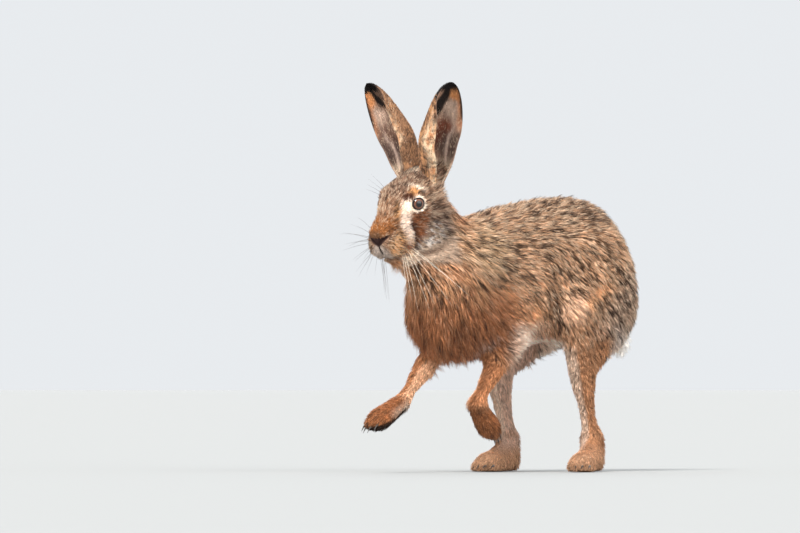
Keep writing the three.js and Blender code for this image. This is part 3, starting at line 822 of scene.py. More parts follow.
def head_colour(h, lid, lines):
    """Colour of the head, and how strongly it is ticked. The places are in the head's axes."""
    x, y, z = np.abs(h[:, 0]), h[:, 1], h[:, 2]
    wave = (noise(h, 6, 3) - 0.5) * 5
    fine = noise(h, 3, 4)
    hairs = noise(np.stack([x / 3, (y - z) / 7, (y + z) / 1.8], axis=1), 1, 15)  # long as the hair lies
    side = ramp(x, 9, 15)
    front = ramp(y, -50, -56)

    def oval(cy, cz, sy, sz, soft=0.5):
        """1 within an oval, as seen from the side, with a wavy edge."""
        return spot(np.hypot((y - cy + wave) / sy, (z - cz + wave * 0.6) / sz), 1, soft)

    # Crown, bridge of the nose and cheeks
    coat = Paint(tone(170, 132, 106), len(h), 1.0)
    coat.over(tone(190, 156, 134), ramp(z, 10, 22) * ramp(fine, 0.45, 0.7) * 0.5, 1.0)
    coat.over(tone(128, 98, 80), ramp(z, 8, 18) * 0.6, 1.0)
    coat.over(tone(150, 108, 78), oval(-34, 2, 22, 16) * 0.6, 0.8)
    coat.over(tone(164, 131, 110), side * oval(6, -44, 34, 24, 0.3), 0.95)
    coat.over(WHITE, side * oval(6, -49, 26, 13) * ramp(fine, 0.42, 0.64) * 0.7, 0.6)
    coat.over(tone(130, 96, 78), side * oval(26, -34, 14, 20) * ramp(fine, 0.6, 0.35) * 0.85, 0.9)
    coat.over(tone(148, 90, 42), oval(-50, -8, 13, 11) * 0.85, 0.5)
    coat.over(tone(206, 150, 92), side * oval(-26, -2, 10, 12) * 0.7, 0.5)

    # Whisker pads, streaked along their hair
    coat.over(tone(240, 182, 126), side * oval(-41, -41, 24, 20, 0.25), 0.85)
    coat.over(tone(164, 94, 46), side * oval(-33, -42, 15, 15) * ramp(fine, 0.65, 0.4) * 0.9, 0.9)
    pad = side * oval(-38, -43, 19, 18, 0.4)
    coat.over(tone(126, 68, 34), pad * ramp(hairs, 0.54, 0.66) * 0.85, 0.3)
    coat.over(tone(255, 216, 172), pad * ramp(hairs, 0.42, 0.32) * 0.8, 0.3)

    # A pale stripe down from the eye, and the dark patch behind it
    stripe = np.interp(z, [-50, -36, -17, -8, 2, 12], [-24, -24, -27, -23, -17, -10])
    band = spot(np.abs(y - stripe + wave * 0.4), 7.6, 3) * ramp(z, -50, -34) * ramp(z, 12, 4)
    broken = 1 - 0.4 * ramp(fine, 0.55, 0.72) * ramp(z, -12, -28)
    coat.over(tone(248, 226, 208), side * band * broken, 0.1)
    patch_back = np.interp(z, [-44, -30, -20, -11], [-8, 2, 9, 6])
    patch_front = np.interp(z, [-44, -36, -20, -11], [-19, -17.5, -17, -14])
    patch = side * ramp(y, patch_front - 1, patch_front + 1) * ramp(y, patch_back + 5, patch_back - 3)
    patch *= ramp(z, -50, -38) * ramp(z, -8, -12)
    coat.over(tone(150, 92, 58), patch, 0.5)
    dark_edge = ramp(y, patch_front + 8, patch_front + 1) * ramp(z, -14, -24)
    coat.over(tone(66, 40, 30), patch * dark_edge, 0.4)

    # Rings of the eyes and marks over them
    coat.over(tone(250, 230, 210), spot(lid, 1.7, 0.2) * side, 0)
    coat.over(tone(240, 196, 172), oval(9, -5, 4, 7, 0.4) * side * spot(lid, 1.9, 0.2) * 0.8, 0.0)
    coat.over(tone(255, 232, 210), side * oval(-14, -2, 6, 7, 0.4), 0.0)
    coat.over(tone(232, 168, 106), oval(0, 11, 7, 4, 0.4) * side, 0.15)
    coat.over(tone(90, 54, 38), oval(-9.5, 8.5, 6, 4.4, 0.4) * side, 0.1)
    brow = spot(np.abs(z - 12 + 0.9 * (y - 10)), 3, 2) * ramp(y, 0, 6) * ramp(y, 22, 14)
    coat.over(tone(252, 230, 208), brow * side, 0.2)

    # Nape, upper lip, jaw and chin
    coat.over(mix(GREY, TAN, 0.5), ramp(y, 30, 44) * ramp(z, 8, -10), 0.8)
    between_ears = spot(np.hypot(x / 9, (y - 40) / 10), 1, 0.5) * ramp(z, 4, 12)
    coat.over(tone(255, 236, 212), between_ears * 0.8, 0.6)
    lip = spot(np.hypot(x / 11, (z + 37) / 10), 1, 0.3) * ramp(y, -50, -57)
    coat.over(tone(216, 196, 182), lip, 0.1)
    coat.over(tone(250, 228, 204), ramp(x, 6, 11) * oval(-30, -61, 24, 8) * 0.85, 0.3)
    coat.over(tone(198, 140, 96), ramp(z, -50, -56) * ramp(y, -20, -44) * ramp(x, 10, 6), 0.0)
    coat.over(tone(220, 192, 168), ramp(z, -57, -64) * ramp(y, -60, -20), 0.2)

    # Nose, mouth and the dark rims of the lids, with painted shade in the philtrum, mouth and crease
    coat.over(tone(158, 100, 52), spot(np.hypot(x / 12, (z + 12) / 6), 1, 0.35) * front, 0.3)
    coat.over(tone(120, 82, 54), spot(np.hypot(x / 8, (z + 15) / 3.5), 1, 0.4) * front, 0.2)
    leather = ramp(z + 30 - 0.75 * x, -1.2, 0.8) * ramp(z, -16.5, -18.5) * ramp(y, -54, -58)
    leather = np.maximum(leather, spot(lines["nostril"], 1.9, 0.6))
    coat.over(NOSE, leather * front, 0)
    # painted shade: dark lines in the grooves of the philtrum, the mouth and the crease behind the whisker pad
    coat.over(tone(48, 33, 30), spot(lines["philtrum"], 1.9, 0.5) * front, 0)
    coat.over(tone(54, 36, 30), spot(lines["mouth"], 1.2, 0.4), 0)
    coat.over(tone(70, 44, 34), spot(lines["crease"], 2.2, 1.5) * 0.8 * side, 0.3)
    coat.over(BLACK, spot(lid, 1.2, 0.05), 0)
    return coat.colour, coat.tick


def body_colour(p, normals, weights):
    """Colour of everything behind the head, and how strongly it is ticked with black."""
    x, y, z = np.abs(p[:, 0]), p[:, 1], p[:, 2]
    left = p[:, 0] > 0
    outward, forward, down = normals[:, 0] * np.sign(p[:, 0]), -normals[:, 1], -normals[:, 2]
    wave = (noise(p, 22, 5) - 0.5) * 26
    fine = noise(p, 9, 6)
    patchy = noise(p, 16, 7)
    w = {part: weights[:, k] for k, part in enumerate(PARTS)}
    trunk = np.clip(w["trunk"] + w["neck"] + w["thigh"] * ramp(y, 60, 20), 0, 1)
    front = ramp(y, -10, -90)
    inner = ramp(outward, 0.15, -0.4)

    # Back, shoulder and flank
    coat = Paint(tone(208, 163, 127), len(p), 1.0)
    shoulder = spot(np.hypot((y + 104) / 50, (z - 274 + 0.3 * (y + 104)) / 30), 1, 0.5)
    coat.over(tone(222, 184, 144), shoulder * 0.8, 0.95)
    coat.over(tone(176, 138, 108), ramp(z, 286, 318) * ramp(y, -80, -20) * 0.85, 1.0)
    coat.over(tone(232, 182, 142), spot(np.hypot((y + 16) / 50, (z - 236) / 34), 1, 0.5) * 0.8, 0.85)

    # The red of the breast, which runs back below the flank
    edge = np.interp(y, [-200, -130, -90, -40, 10, 60, 110], [292, 256, 236, 212, 200, 190, 150])
    red = ramp(z + wave, edge + 18, edge - 18)
    coat.over(mix(tone(244, 184, 136), tone(208, 152, 112), front), red * trunk, mix(0.16, 0.4, front))
    low_chest = ramp(z + wave * 0.6, 240, 196) * front
    coat.over(tone(178, 114, 74), low_chest * trunk * 0.85, 0.2)
    coat.over(tone(124, 78, 52), red * front * ramp(patchy, 0.5, 0.75) * trunk * 0.6, 0.25)
    bright = ramp(fine, 0.5, 0.75) * ramp(z, 190, 240)
    coat.over(tone(240, 186, 138), red * front * bright * trunk * 0.7, 0.25)
    coat.over(tone(216, 164, 124), w["neck"] * ramp(z, 318, 300) * 0.6, 0.7)
    coat.over(tone(196, 140, 104), w["neck"] * ramp(y, -150, -120) * ramp(z, 280, 320), 0.6)

    # Underside
    armpit = ramp(y, -120, -60) * ramp(down, 0.35, 0.75)
    coat.over(mix(WHITE, GREY, 0.35), armpit * w["trunk"] * ramp(z, 215, 190), 0.05)
    belly = ramp(y, -72, -40) * ramp(z + wave * 0.3 - 0.12 * (y + 20), 192, 174) * ramp(down, -0.7, 0.0)
    coat.over(tone(250, 230, 212), belly * trunk * 0.92, 0.02)

    # Thighs, with the pale streak, painted shade in the fold in front of the knee, and a painted highlight on
    # the knee
    coat.over(mix(TAN, BUFF, 0.25), w["thigh"] * 0.6, 0.95)
    coat.over(mix(GREY, TAN, 0.35), w["thigh"] * ramp(y - z * 0.9, -100, -60), 0.85)
    coat.over(mix(GREY, WHITE, 0.3), w["thigh"] * ramp(y, 96, 126) * ramp(z, 192, 165), 0.6)
    line = np.abs((z - 199) - 0.62 * (y - 52))
    streak = spot(line, 6, 4) * ramp(y, 55, 62) * ramp(y, 118, 92) * ramp(x, 40, 50)
    coat.over(tone(236, 180, 134), streak * w["thigh"], 0.15)
    # painted shade: a dark line in the fold in front of the knee
    fold = spot(np.abs((y - 26) + 0.35 * (z - 200)), 6, 5) * spot(np.abs(z - 205), 28, 12)
    coat.over(tone(128, 88, 64), fold * ramp(x, 36, 46) * 0.8, 0.8)
    # the knee's pale fur, brightened further as a painted highlight
    knee = spot(np.hypot((y - 48) / 15, (z - 199) / 17), 1, 0.35) * ramp(x, 44, 54)
    coat.over(tone(255, 214, 180), knee, 0.0)
    below_knee = spot(np.hypot((y - 60) / 46, (z - 170) / 22), 1, 0.6)
    coat.over(tone(214, 158, 116), w["thigh"] * below_knee * 0.6, 0.5)
    coat.over(mix(CREAM, PINK, 0.3), w["thigh"] * inner * ramp(z, 230, 200), 0.05)

    # Lower hind legs and hind feet
    for part in ("shank", "hindfoot"):
        coat.over(tone(190, 138, 100) * (0.8 + 0.4 * fine[:, None]), w[part], 0.26)
        coat.over(mix(CREAM, PINK, 0.6), w[part] * inner, 0.0)
        coat.over(mix(CREAM, PINK, 0.25), w[part] * ramp(forward, 0.55, 0.9) * 0.75, 0.05)
        coat.over(tone(128, 88, 64), w[part] * ramp(-forward, 0.5, 0.95) * 0.7, 0.5)
    coat.over(tone(206, 162, 128), w["hindfoot"] * ramp(z, 40, 18), 0.4)
    coat.over(BROWN, w["hindfoot"] * ramp(down, 0.4, 0.8) * ramp(z, 12, 5), 0.1)

    # Forelegs: paler inside, the left one darker in front, the right one outside
    coat.over(tone(204, 142, 98), w["forearm"], 0.03)
    coat.over(tone(160, 96, 54), w["forearm"] * ramp(outward, 0.2, 0.8) * ~left * 0.7, 0.03)
    coat.over(tone(150, 96, 62), w["forearm"] * ramp(forward, 0.2, 0.8) * left * 0.6, 0.03)
    coat.over(tone(240, 192, 154), w["forearm"] * ramp(outward + 0.3 * forward, 0.05, -0.45), 0.0)
    streaky = (0.72 + 0.5 * ramp(noise(p, 4, 14), 0.35, 0.65))[:, None]
    coat.over(tone(162, 104, 66) * streaky, w["forepaw"], 0.3)
    coat.over(CREAM, w["forepaw"] * ramp(z, 62, 78) * ramp(-forward, -0.2, 0.5) * ~left, 0.0)
    right_sole = ramp(down, 0.05, 0.5) * ~left
    left_sole = ramp(-forward * 0.75 + down * 0.6, 0.3, 0.8) * left
    coat.over(tone(50, 33, 25), w["forepaw"] * np.maximum(right_sole, left_sole * 0.55), 0.1)

    # Tail: black along its upper side, which faces back, and white for the rest
    tail = ramp(w["tail"], 0.2, 0.6)
    upper = ramp(-forward * 0.9 - down * 0.35, 0.66, 0.82)
    coat.over(WHITE, tail, 0)
    coat.over(BLACK, tail * upper * ramp(z, 158, 172) * ramp(x, 10, 7), 0)
    return coat.colour, coat.tick * mix(0.2, 1.0, ramp(z, 105, 165))


def coat_colour(p, normals, weights, lid, lines):
    """Colour and ticking of head and body together, with a painted shade behind the jaw."""
    head, head_ticks = head_colour(into_head(p), lid, lines)
    body, body_ticks = body_colour(p, normals, weights)
    share = ramp(weights[:, 0], 0.25, 0.75)
    colour = mix(body, head, share) * (0.9 + 0.2 * noise(p, 30, 8))[:, None]
    # painted shade: a dark band along the fold behind the jaw
    colour = mix(colour, tone(104, 68, 48), spot(lines["jaw"], 4, 3) * 0.65)
    return colour, mix(body_ticks, head_ticks, share)


def ear_colour(ear, t, share, inside):
    """An ear's colour. m is 1 at the front margin, which is fringed, and -1 at the rear one."""
    m = share * ear["side"]
    back = ear["marks_back"]
    across = m * 26
    along = t * ear["length"]
    streak = noise(np.stack([along / 5, across, inside * 40], axis=1), 1.6, 11)
    grain = noise(np.stack([along, across, inside * 40 + 9], axis=1), 2.2, 13)
    wave = (noise(np.stack([along, across, inside * 40], axis=1), 12, 12) - 0.5) * 0.3

    def oval(t0, m0, st, sm, soft):
        return spot(np.hypot((t - t0 + wave * 0.3) / st, (m - m0 + wave) / sm), 1, soft)

    # Outside: brown, ticked, with a cream edge towards the front margin
    out = np.tile(mix(BROWN, TAN, 0.25), (len(t), 1))
    out = mix(out, DARK, (0.9 - 1.6 * back) * ramp(grain, 0.4, 0.52))
    fawn = (0.75 - 2.4 * back) * ramp(streak, 0.58, 0.72) * ramp(m, -0.1, 0.6)
    out = mix(out, tone(222, 166, 116), fawn)
    out = mix(out, mix(GREY, TAN, 0.5), 0.55 * ramp(-m, 0.0, 0.7))
    cream = ramp(m + wave - 0.9 * back, 0.64, 0.8) * ramp(t, 0.74, 0.56) * ramp(t, 0.05, 0.12)
    out = mix(out, tone(255, 226, 190), cream)
    out = mix(out, tone(206, 132, 78), cream * ramp(streak, 0.52, 0.64) * 0.85)
    out = mix(out, DARK, cream * ramp(grain, 0.66, 0.74) * 0.7)

    # Inside: grey and orange near the tip, a red patch half-way, dusky below it
    within = np.tile(tone(156, 122, 102), (len(t), 1))
    within = mix(within, tone(192, 166, 148), oval(0.7, -0.66 - 0.5 * back, 0.14, 0.34, 0.5) * 0.9)
    within = mix(within, tone(214, 148, 96), oval(0.88, -0.72 - 0.4 * back, 0.07, 0.34, 0.4))
    within = mix(within, tone(206, 138, 92), ramp(-m, 0.72, 0.9) * ramp(t, 0.5, 0.62) * 0.7)
    red = mix(tone(124, 72, 54), tone(120, 92, 78), 4.0 * back)
    within = mix(within, red, oval(0.5, -0.46 - 0.8 * back, 0.15, 0.24, 0.35))
    within = mix(within, tone(98, 78, 70), oval(0.4, -0.85, 0.2, 0.35, 0.45) * 0.95)
    rib = spot(np.abs(m + 0.68 + wave * 0.5), 0.04, 0.04) * ramp(t, 0.62, 0.54)
    within = mix(within, tone(206, 180, 164), rib * 0.8)

    # A black bar that slants down from the black tip
    high, long, wide = 0.76 + 0.43 * back, 0.22 - 0.55 * back, 0.26 - 0.45 * back
    lean = m + back + 0.1 + 1.1 * (t - high)
    bar = spot(np.hypot((t - high + wave * 0.2) / long, (lean + wave * 0.6) / wide), 1, 0.25)
    within = mix(within, BLACK, bar * 0.97)
    within = mix(within, tone(250, 226, 198), ramp(t, 0.34, 0.2) * ramp(grain, 0.2, 0.5))
    within = within * (0.62 + 0.76 * streak)[:, None]

    colour = mix(out, within, inside)
    tip = ramp(t + wave * 0.25 + 0.03 * (1 - inside), 0.89 + 0.07 * back, 0.93 + 0.05 * back)
    rear_rim = ramp(-m, 0.86, 0.95) * ramp(t, 0.6, 0.7)
    return mix(colour, BLACK, np.maximum(tip, rear_rim))


# The skin's own mesh: the body and both ears in one


skin_tint, _ = coat_colour(points, normals, weights, lid, muzzle_lines)
skin_tint = skin_tint * mix(0.62, 0.92, lightness(skin_tint))[:, None]  # the shade under the hair
skin_points, skin_tris, skin_tints = [points], [tris], [skin_tint]
for ear in EARS.values():
    ear_co, quads, ts, shares, inside = ear_shell(ear)
    start = sum(len(p) for p in skin_points)
    both = np.concatenate([quads[:, [0, 1, 2]], quads[:, [0, 2, 3]]])
    skin_points.append(ear_co)
    skin_tris.append(both + start)
    # the ear's skin is darkened by a fifth as painted shade under its hair
    skin_tints.append(ear_colour(ear, ts, shares, inside) * 0.8)
skin = filled(
    "skin", np.concatenate(skin_points), np.concatenate(skin_tris), SKIN,
    [("tint", np.concatenate(skin_tints))],
)
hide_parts(*FLESH, "ear_left", "ear_right")


# Eyes


def eye_material():
    material, tree, shader = principled("wet_eye", 0.12, 0.25)
    shader.inputs["Coat Weight"].default_value = 0.7
    shader.inputs["Coat Roughness"].default_value = 0.02
    gaze = tree.nodes.new("ShaderNodeAttribute")
    gaze.attribute_name = "gaze"
    ring = tree.nodes.new("ShaderNodeValToRGB")
    stops = [
        (0.0, (0.003, 0.003, 0.004)), (0.235, (0.004, 0.003, 0.003)), (0.26, (0.05, 0.018, 0.007)),
        (0.32, (0.15, 0.055, 0.028)), (0.40, (0.20, 0.080, 0.045)), (0.45, (0.07, 0.026, 0.014)),
        (0.49, (0.006, 0.004, 0.003)),
    ]
    while len(ring.color_ramp.elements) < len(stops):
        ring.color_ramp.elements.new(0.5)
    for element, (at, colour) in zip(ring.color_ramp.elements, stops):
        element.position = at
        element.color = (*colour, 1)
    streak = tree.nodes.new("ShaderNodeAttribute")
    streak.attribute_name = "streak"
    dull = tree.nodes.new("ShaderNodeMix")
    dull.data_type = "RGBA"
    dull.blend_type = "MULTIPLY"
    dull.inputs["Factor"].default_value = 0.7
    wire(tree, gaze.outputs["Fac"], ring.inputs["Fac"])
    wire(tree, ring.outputs["Color"], dull.inputs["A"])
    wire(tree, streak.outputs["Color"], dull.inputs["B"])
    wire(tree, dull.outputs["Result"], shader.inputs["Base Color"])
    return material


EYE = eye_material()


def eyeball(side, rings=40, around=48):
    """A ball whose rings lie round the line of sight, with a cornea that bulges a little."""
    gaze = unit(EYE_GAZE * [side, 1, 1])
    level = unit(np.cross(gaze, [0, 0, 1.0]))
    up = np.cross(level, gaze)
    angle = np.concatenate([np.linspace(0, 1.25, 30), np.linspace(1.25, math.pi, rings - 29)[1:]])
    turn = np.linspace(0, 2 * math.pi, around, endpoint=False)
    A, B = np.meshgrid(angle[1:-1], turn, indexing="ij")
    way = (
        np.cos(A)[..., None] * gaze
        + (np.sin(A) * np.cos(B))[..., None] * level
        + (np.sin(A) * np.sin(B))[..., None] * up
    )
    radius = EYE_RADIUS + CORNEA * np.exp(-((A / 0.75) ** 4))
    grid = (way * radius[..., None]).reshape(-1, 3)
    grid = np.concatenate([grid, [gaze * (EYE_RADIUS + CORNEA), -gaze * EYE_RADIUS]])
    n = len(angle) - 2
    i, j = np.meshgrid(np.arange(n - 1), np.arange(around), indexing="ij")
    a, b = i * around + j, i * around + (j + 1) % around
    quads = np.stack([a, a + around, b + around, b], axis=-1).reshape(-1, 4)
    j = np.arange(around)
    last = (n - 1) * around
    faces = np.concatenate([
        quads[:, [0, 1, 2]],
        quads[:, [0, 2, 3]],
        np.stack([np.full(around, n * around), j, (j + 1) % around], axis=1),
        np.stack([np.full(around, n * around + 1), last + (j + 1) % around, last + j], axis=1),
    ])
    angles = np.concatenate([A.ravel(), [0, math.pi]])
    turns = np.concatenate([B.ravel(), [0, 0]])
    lines = lattice(np.stack([np.round(turns * 40), 0 * turns, 0 * turns], axis=1), 4)
    streak = np.tile((0.55 + 0.6 * lines)[:, None], (1, 3))
    node = "eye_left" if side > 0 else "eye_right"
    ball = filled(
        node + "_ball", from_head(grid + EYE_AT * [side, 1, 1]), faces, EYE,
        [("gaze", angles / 1.5), ("streak", streak)],
    )
    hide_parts(node)


eyeball(1)
eyeball(-1)


# Claws: curved horn over the node's straight cone


def claws(steps=8, around=10):
    all_points, all_faces, tints = [], [], []
    names = sorted(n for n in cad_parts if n.startswith("claw"))
    for k, name in enumerate(names):
        co = points_of(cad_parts[name].data)
        middle = co.mean(0)
        tip = co[np.argmax(np.linalg.norm(co - middle, axis=1))]
        base = middle - (tip - middle) * 0.6
        way = unit(tip - base)
        level = unit(np.cross(way, [0, 0, 1.0]))
        up = np.cross(level, way)
        length = np.linalg.norm(tip - base) * 0.86
        turn = np.arange(around) * 2 * math.pi / around
        for s in np.arange(steps + 1) / steps:
            centre = base + way * length * s + up * (1.5 * math.sin(math.pi * s) - 0.8 * s)
            radius = 1.6 * (1 - s) ** 0.8 + 0.12
            ring = centre + radius * (np.cos(turn)[:, None] * level * 0.8 + np.sin(turn)[:, None] * up)
            all_points.append(ring)
            tints.append(np.tile(mix(tone(96, 80, 66), tone(34, 26, 22), s ** 0.6), (around, 1)))
        all_faces.append(tube_faces(steps, around) + k * (steps + 1) * around)
    piece = filled(
        "claws", np.concatenate(all_points), np.concatenate(all_faces), CLAW,
        [("tint", np.concatenate(tints))],
    )
    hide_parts(*names)


claws()


# Coat: tufts of hair as closed, curved, three-sided locks

RING = np.radians([90.0, 210.0, 330.0])
FLATNESS = 0.5  # a lock's height against its width
PATCH = 0.003  # the size of a lock's place on the map


def ring_points(centre, way, out, half_width):
    """Three points round a lock's centre line, flat against the body."""
    side = unit(np.cross(out, way))
    top = np.cross(way, side)
    return [
        centre + half_width[:, None] * (math.cos(a) * side + FLATNESS * math.sin(a) * top) for a in RING
    ]


def locks(roots, middles, tips, out, width, shades, chart, bent):
    """Arrays of locks: points, faces, tints and places on the chart. A bent lock has a ring half-way."""
    count = len(roots)
    rings = [ring_points(roots, unit(middles - roots), out, width)]
    if bent:
        rings.append(ring_points(middles, unit(tips - roots), out, width * 0.72))
    co = np.stack([p for ring in rings for p in ring] + [tips], axis=1)
    size = co.shape[1]
    faces = [(2, 1, 0)]
    for row in range(len(rings) - 1):
        for k in range(3):
            a, b = row * 3 + k, row * 3 + (k + 1) % 3
            faces += [(a, b, b + 3), (a, b + 3, a + 3)]
    last = (len(rings) - 1) * 3
    faces += [(last + k, last + (k + 1) % 3, size - 1) for k in range(3)]
    faces = (np.array(faces)[None] + (np.arange(count) * size)[:, None, None]).reshape(-1, 3)
    tints = np.stack([shade for shade in shades[:-1] for _ in range(3)] + [shades[-1]], axis=1)
    u = np.array(([0, 1, 0.5] * len(rings)) + [0.5]) * PATCH
    v = np.array([0, 0, 0.2, 0.5, 0.5, 0.7][: 3 * len(rings)] + [1.0]) * PATCH
    uv = chart[:, None, :] + np.stack([u, v], axis=1)[None]
    return co.reshape(-1, 3), faces, tints.reshape(-1, 3), uv.reshape(-1, 2)


def own_chart(p, axis):
    """An unwrap of a piece round its own long axis, which fills the square."""
    axis = unit(np.array(axis, float))
    side = unit(np.cross(axis, [0.31, 0.2, 0.93]))
    top = np.cross(axis, side)
    q = p - p.mean(0)
    u = np.arctan2(q @ top, q @ side) / (2 * math.pi) + 0.5
    v = q @ axis
    v = (v - v.min()) / max(np.ptp(v), 1e-6)
    u = (u - u.min()) / max(np.ptp(u), 1e-6)
    return np.stack([u, v], axis=1) * 0.985 + 0.004


def scattered(points, tris, density):
    """Roots spread over the surface: the triangle of each, and its weights of the three corners."""
    a, b, c = (points[tris[:, k]] for k in range(3))
    area = np.linalg.norm(np.cross(b - a, c - a), axis=1) / 2
    share = np.cumsum(area * density[tris].mean(1))
    count = int(share[-1])
    pick = np.searchsorted(share, (np.arange(count) + rng.random(count)) / count * share[-1])
    r, s = rng.random(count), rng.random(count)
    over = r + s > 1
    r[over], s[over] = 1 - r[over], 1 - s[over]
    return pick, np.stack([1 - r - s, r, s], axis=1)


def nearest_of(targets, queries):
    tree = KDTree(len(targets))
    for k, p in enumerate(targets):
        tree.insert(p, k)
    tree.balance()
    return np.array([tree.find(q)[1] for q in queries])


COAT = {  # part: length, half the width of a lock, locks for each square millimetre
    "head": (5.4, 0.36, 0.95),
    "neck": (23, 0.43, 0.76),
    "trunk": (18, 0.42, 0.76),
    "tail": (14, 0.5, 2.1),
    "thigh": (15, 0.42, 0.78),
    "shank": (8, 0.36, 0.85),
    "hindfoot": (7, 0.34, 0.9),
    "forearm": (8, 0.36, 0.9),
    "forepaw": (6.5, 0.38, 0.9),
}


FRONT_OF_NECK = spot(np.linalg.norm((points - [0, -168, 250]) / [34, 26, 36], axis=1), 1, 0.4)


def coat_lengths(table, h, in_head):
    """Each vertex's length of hair, longer on cheeks, crown and chest, and how the face's hair crowds."""
    cheek = ramp(h[:, 1], 0, 30) * ramp(h[:, 2], 14, -18)
    muzzle = ramp(h[:, 1], -34, -56)
    crown = ramp(h[:, 1], 14, 36) * ramp(h[:, 2], 2, 16)
    chin = ramp(h[:, 2], -54, -62) * ramp(h[:, 1], 0, -20)
    pad = ramp(h[:, 1], -20, -40) * ramp(h[:, 2], -22, -34)
    on_head = 1 + 0.9 * cheek + 0.7 * crown - 0.35 * muzzle + 0.5 * pad - 0.4 * chin
    length = table[:, 0] * mix(1.0, on_head, in_head)
    chest = ramp(points[:, 1], -70, -120) * ramp(points[:, 2], 290, 250)
    length *= 1 + 0.55 * weights[:, PARTS.index("trunk")] * chest
    length *= mix(1.0, 0.6, spot(lid, 1.8, 0.3))
    lips = np.minimum(muzzle_lines["philtrum"], muzzle_lines["mouth"])
    length *= mix(1.0, 0.45, spot(lips, 4, 1.5))
    return length * (1 - 0.35 * FRONT_OF_NECK), mix(1.0, 1 - 0.35 * cheek + 0.5 * muzzle, in_head)


def hairless(h):
    """1 on the lids' rims, the nostrils, the lips' edges and the leather of the nose."""
    x, y, z = np.abs(h[:, 0]), h[:, 1], h[:, 2]
    tip = ramp(y, -50, -56)
    bare = np.maximum(spot(lid, 1.17, 0.05), spot(muzzle_lines["nostril"], 1.9, 0.5) * tip)
    bare = np.maximum(bare, spot(muzzle_lines["philtrum"], 2.1, 0.3) * tip)
    bare = np.maximum(bare, spot(muzzle_lines["mouth"], 2.0, 0.3) * ramp(y, -34, -40))
    leather = ramp(z + 30 - 0.75 * x, -1, 0.6) * ramp(z, -16.8, -18.2) * ramp(y, -57, -60)
    return np.maximum(bare, leather)


def body_coat():
    """The root of every lock of the body, with its lie, size and colour."""
    table = weights @ np.array([COAT[p] for p in PARTS])
    h = into_head(points)
    in_head = ramp(weights[:, 0], 0.3, 0.8)
    length, crowding = coat_lengths(table, h, in_head)
    density = table[:, 2] * crowding * (1 - hairless(h))
    depth = lying(smoothed(weights @ PART_DEPTHS, edges, 2), points, in_head)
    depth += 5 * FRONT_OF_NECK * ramp(normals[:, 1], -0.1, -0.7) * (1 - in_head)
    pick, share = scattered(points, tris, density)
    corner = tris[pick]

    def at(values):
        return np.einsum("nk,nk...->n...", share, values[corner])

    root, out, way = at(points), unit(at(normals)), unit(at(lie))
    w, lid_here = at(weights), at(lid)
    lines = {name: at(value) for name, value in muzzle_lines.items()}
    colour, ticked = coat_colour(root, out, w, lid_here, lines)
    return {
        "root": root, "out": out, "way": way, "weights": w, "colour": colour, "ticked": ticked,
        "length": at(length), "width": at(table[:, 1]), "depth": at(depth),
        "part": np.argmax(w, axis=1),
    }


def piece_of(coat):
    """Which piece each lock belongs to, small enough for each to be its own mesh."""
    root, part = coat["root"], coat["part"]
    side = np.where(root[:, 0] > 0, "left", "right")
    name = np.array([PARTS[k] for k in part], dtype=object)
    trunk = part == PARTS.index("trunk")
    third = np.where(root[:, 1] < -50, "fore", np.where(root[:, 1] < 60, "mid", "rear"))
    label = np.array([f"coat_{n}_{s}" for n, s in zip(name, side)], dtype=object)
    label[trunk] = [f"coat_{n}_{s}" for n, s in zip(third[trunk], side[trunk])]
    label[part == PARTS.index("tail")] = "coat_tail"
    return label


def variations(leader):
    """Two ways to vary locks: each by itself, or alike with all that share its leader."""

    def each(spread):
        return rng.normal(0, spread, len(leader))

    def shared(spread):
        return each(spread)[leader]

    return each, shared


def lock_shades(c, leader, short):
    """A lock's colours at its root, half-way and at its tip. Some clumps are black-tipped, others pale."""
    each, shared = variations(leader)
    count = len(leader)
    luck = rng.random(count)
    mood = rng.random(count) + 0.9 * noise(c["root"], 7, 9)
    clump_luck = (np.argsort(np.argsort(mood)) / count)[leader]
    ticked = c["ticked"]
    black = luck < np.where(clump_luck < (0.3 if short else 0.33) * ticked, 0.92, 0.04 * ticked)
    pale = ~black & (rng.random(count) < np.where(clump_luck > 1 - 0.36 * ticked, 0.88, 0.1))
    varied = shared(0.1 if short else 0.2) + each(0.3 if short else 0.2)
    body = c["colour"] * np.clip(1.15 + varied, 0.5, 1.8)[:, None]
    light = mix(body * 1.4, tone(255, 230, 200), 0.6 * ticked + 0.1)
    band = body.copy()
    band[black] = mix(body[black], DARK, 0.9)
    band[pale] = mix(body[pale], light[pale], 0.6)
    end = body * 1.15
    end[black] = mix(body[black], BLACK, 0.8 if short else 0.95)
    end[pale] = light[pale]
    deep = body * mix(0.4, 0.85, lightness(c["colour"]))[:, None]
    return deep, band, end


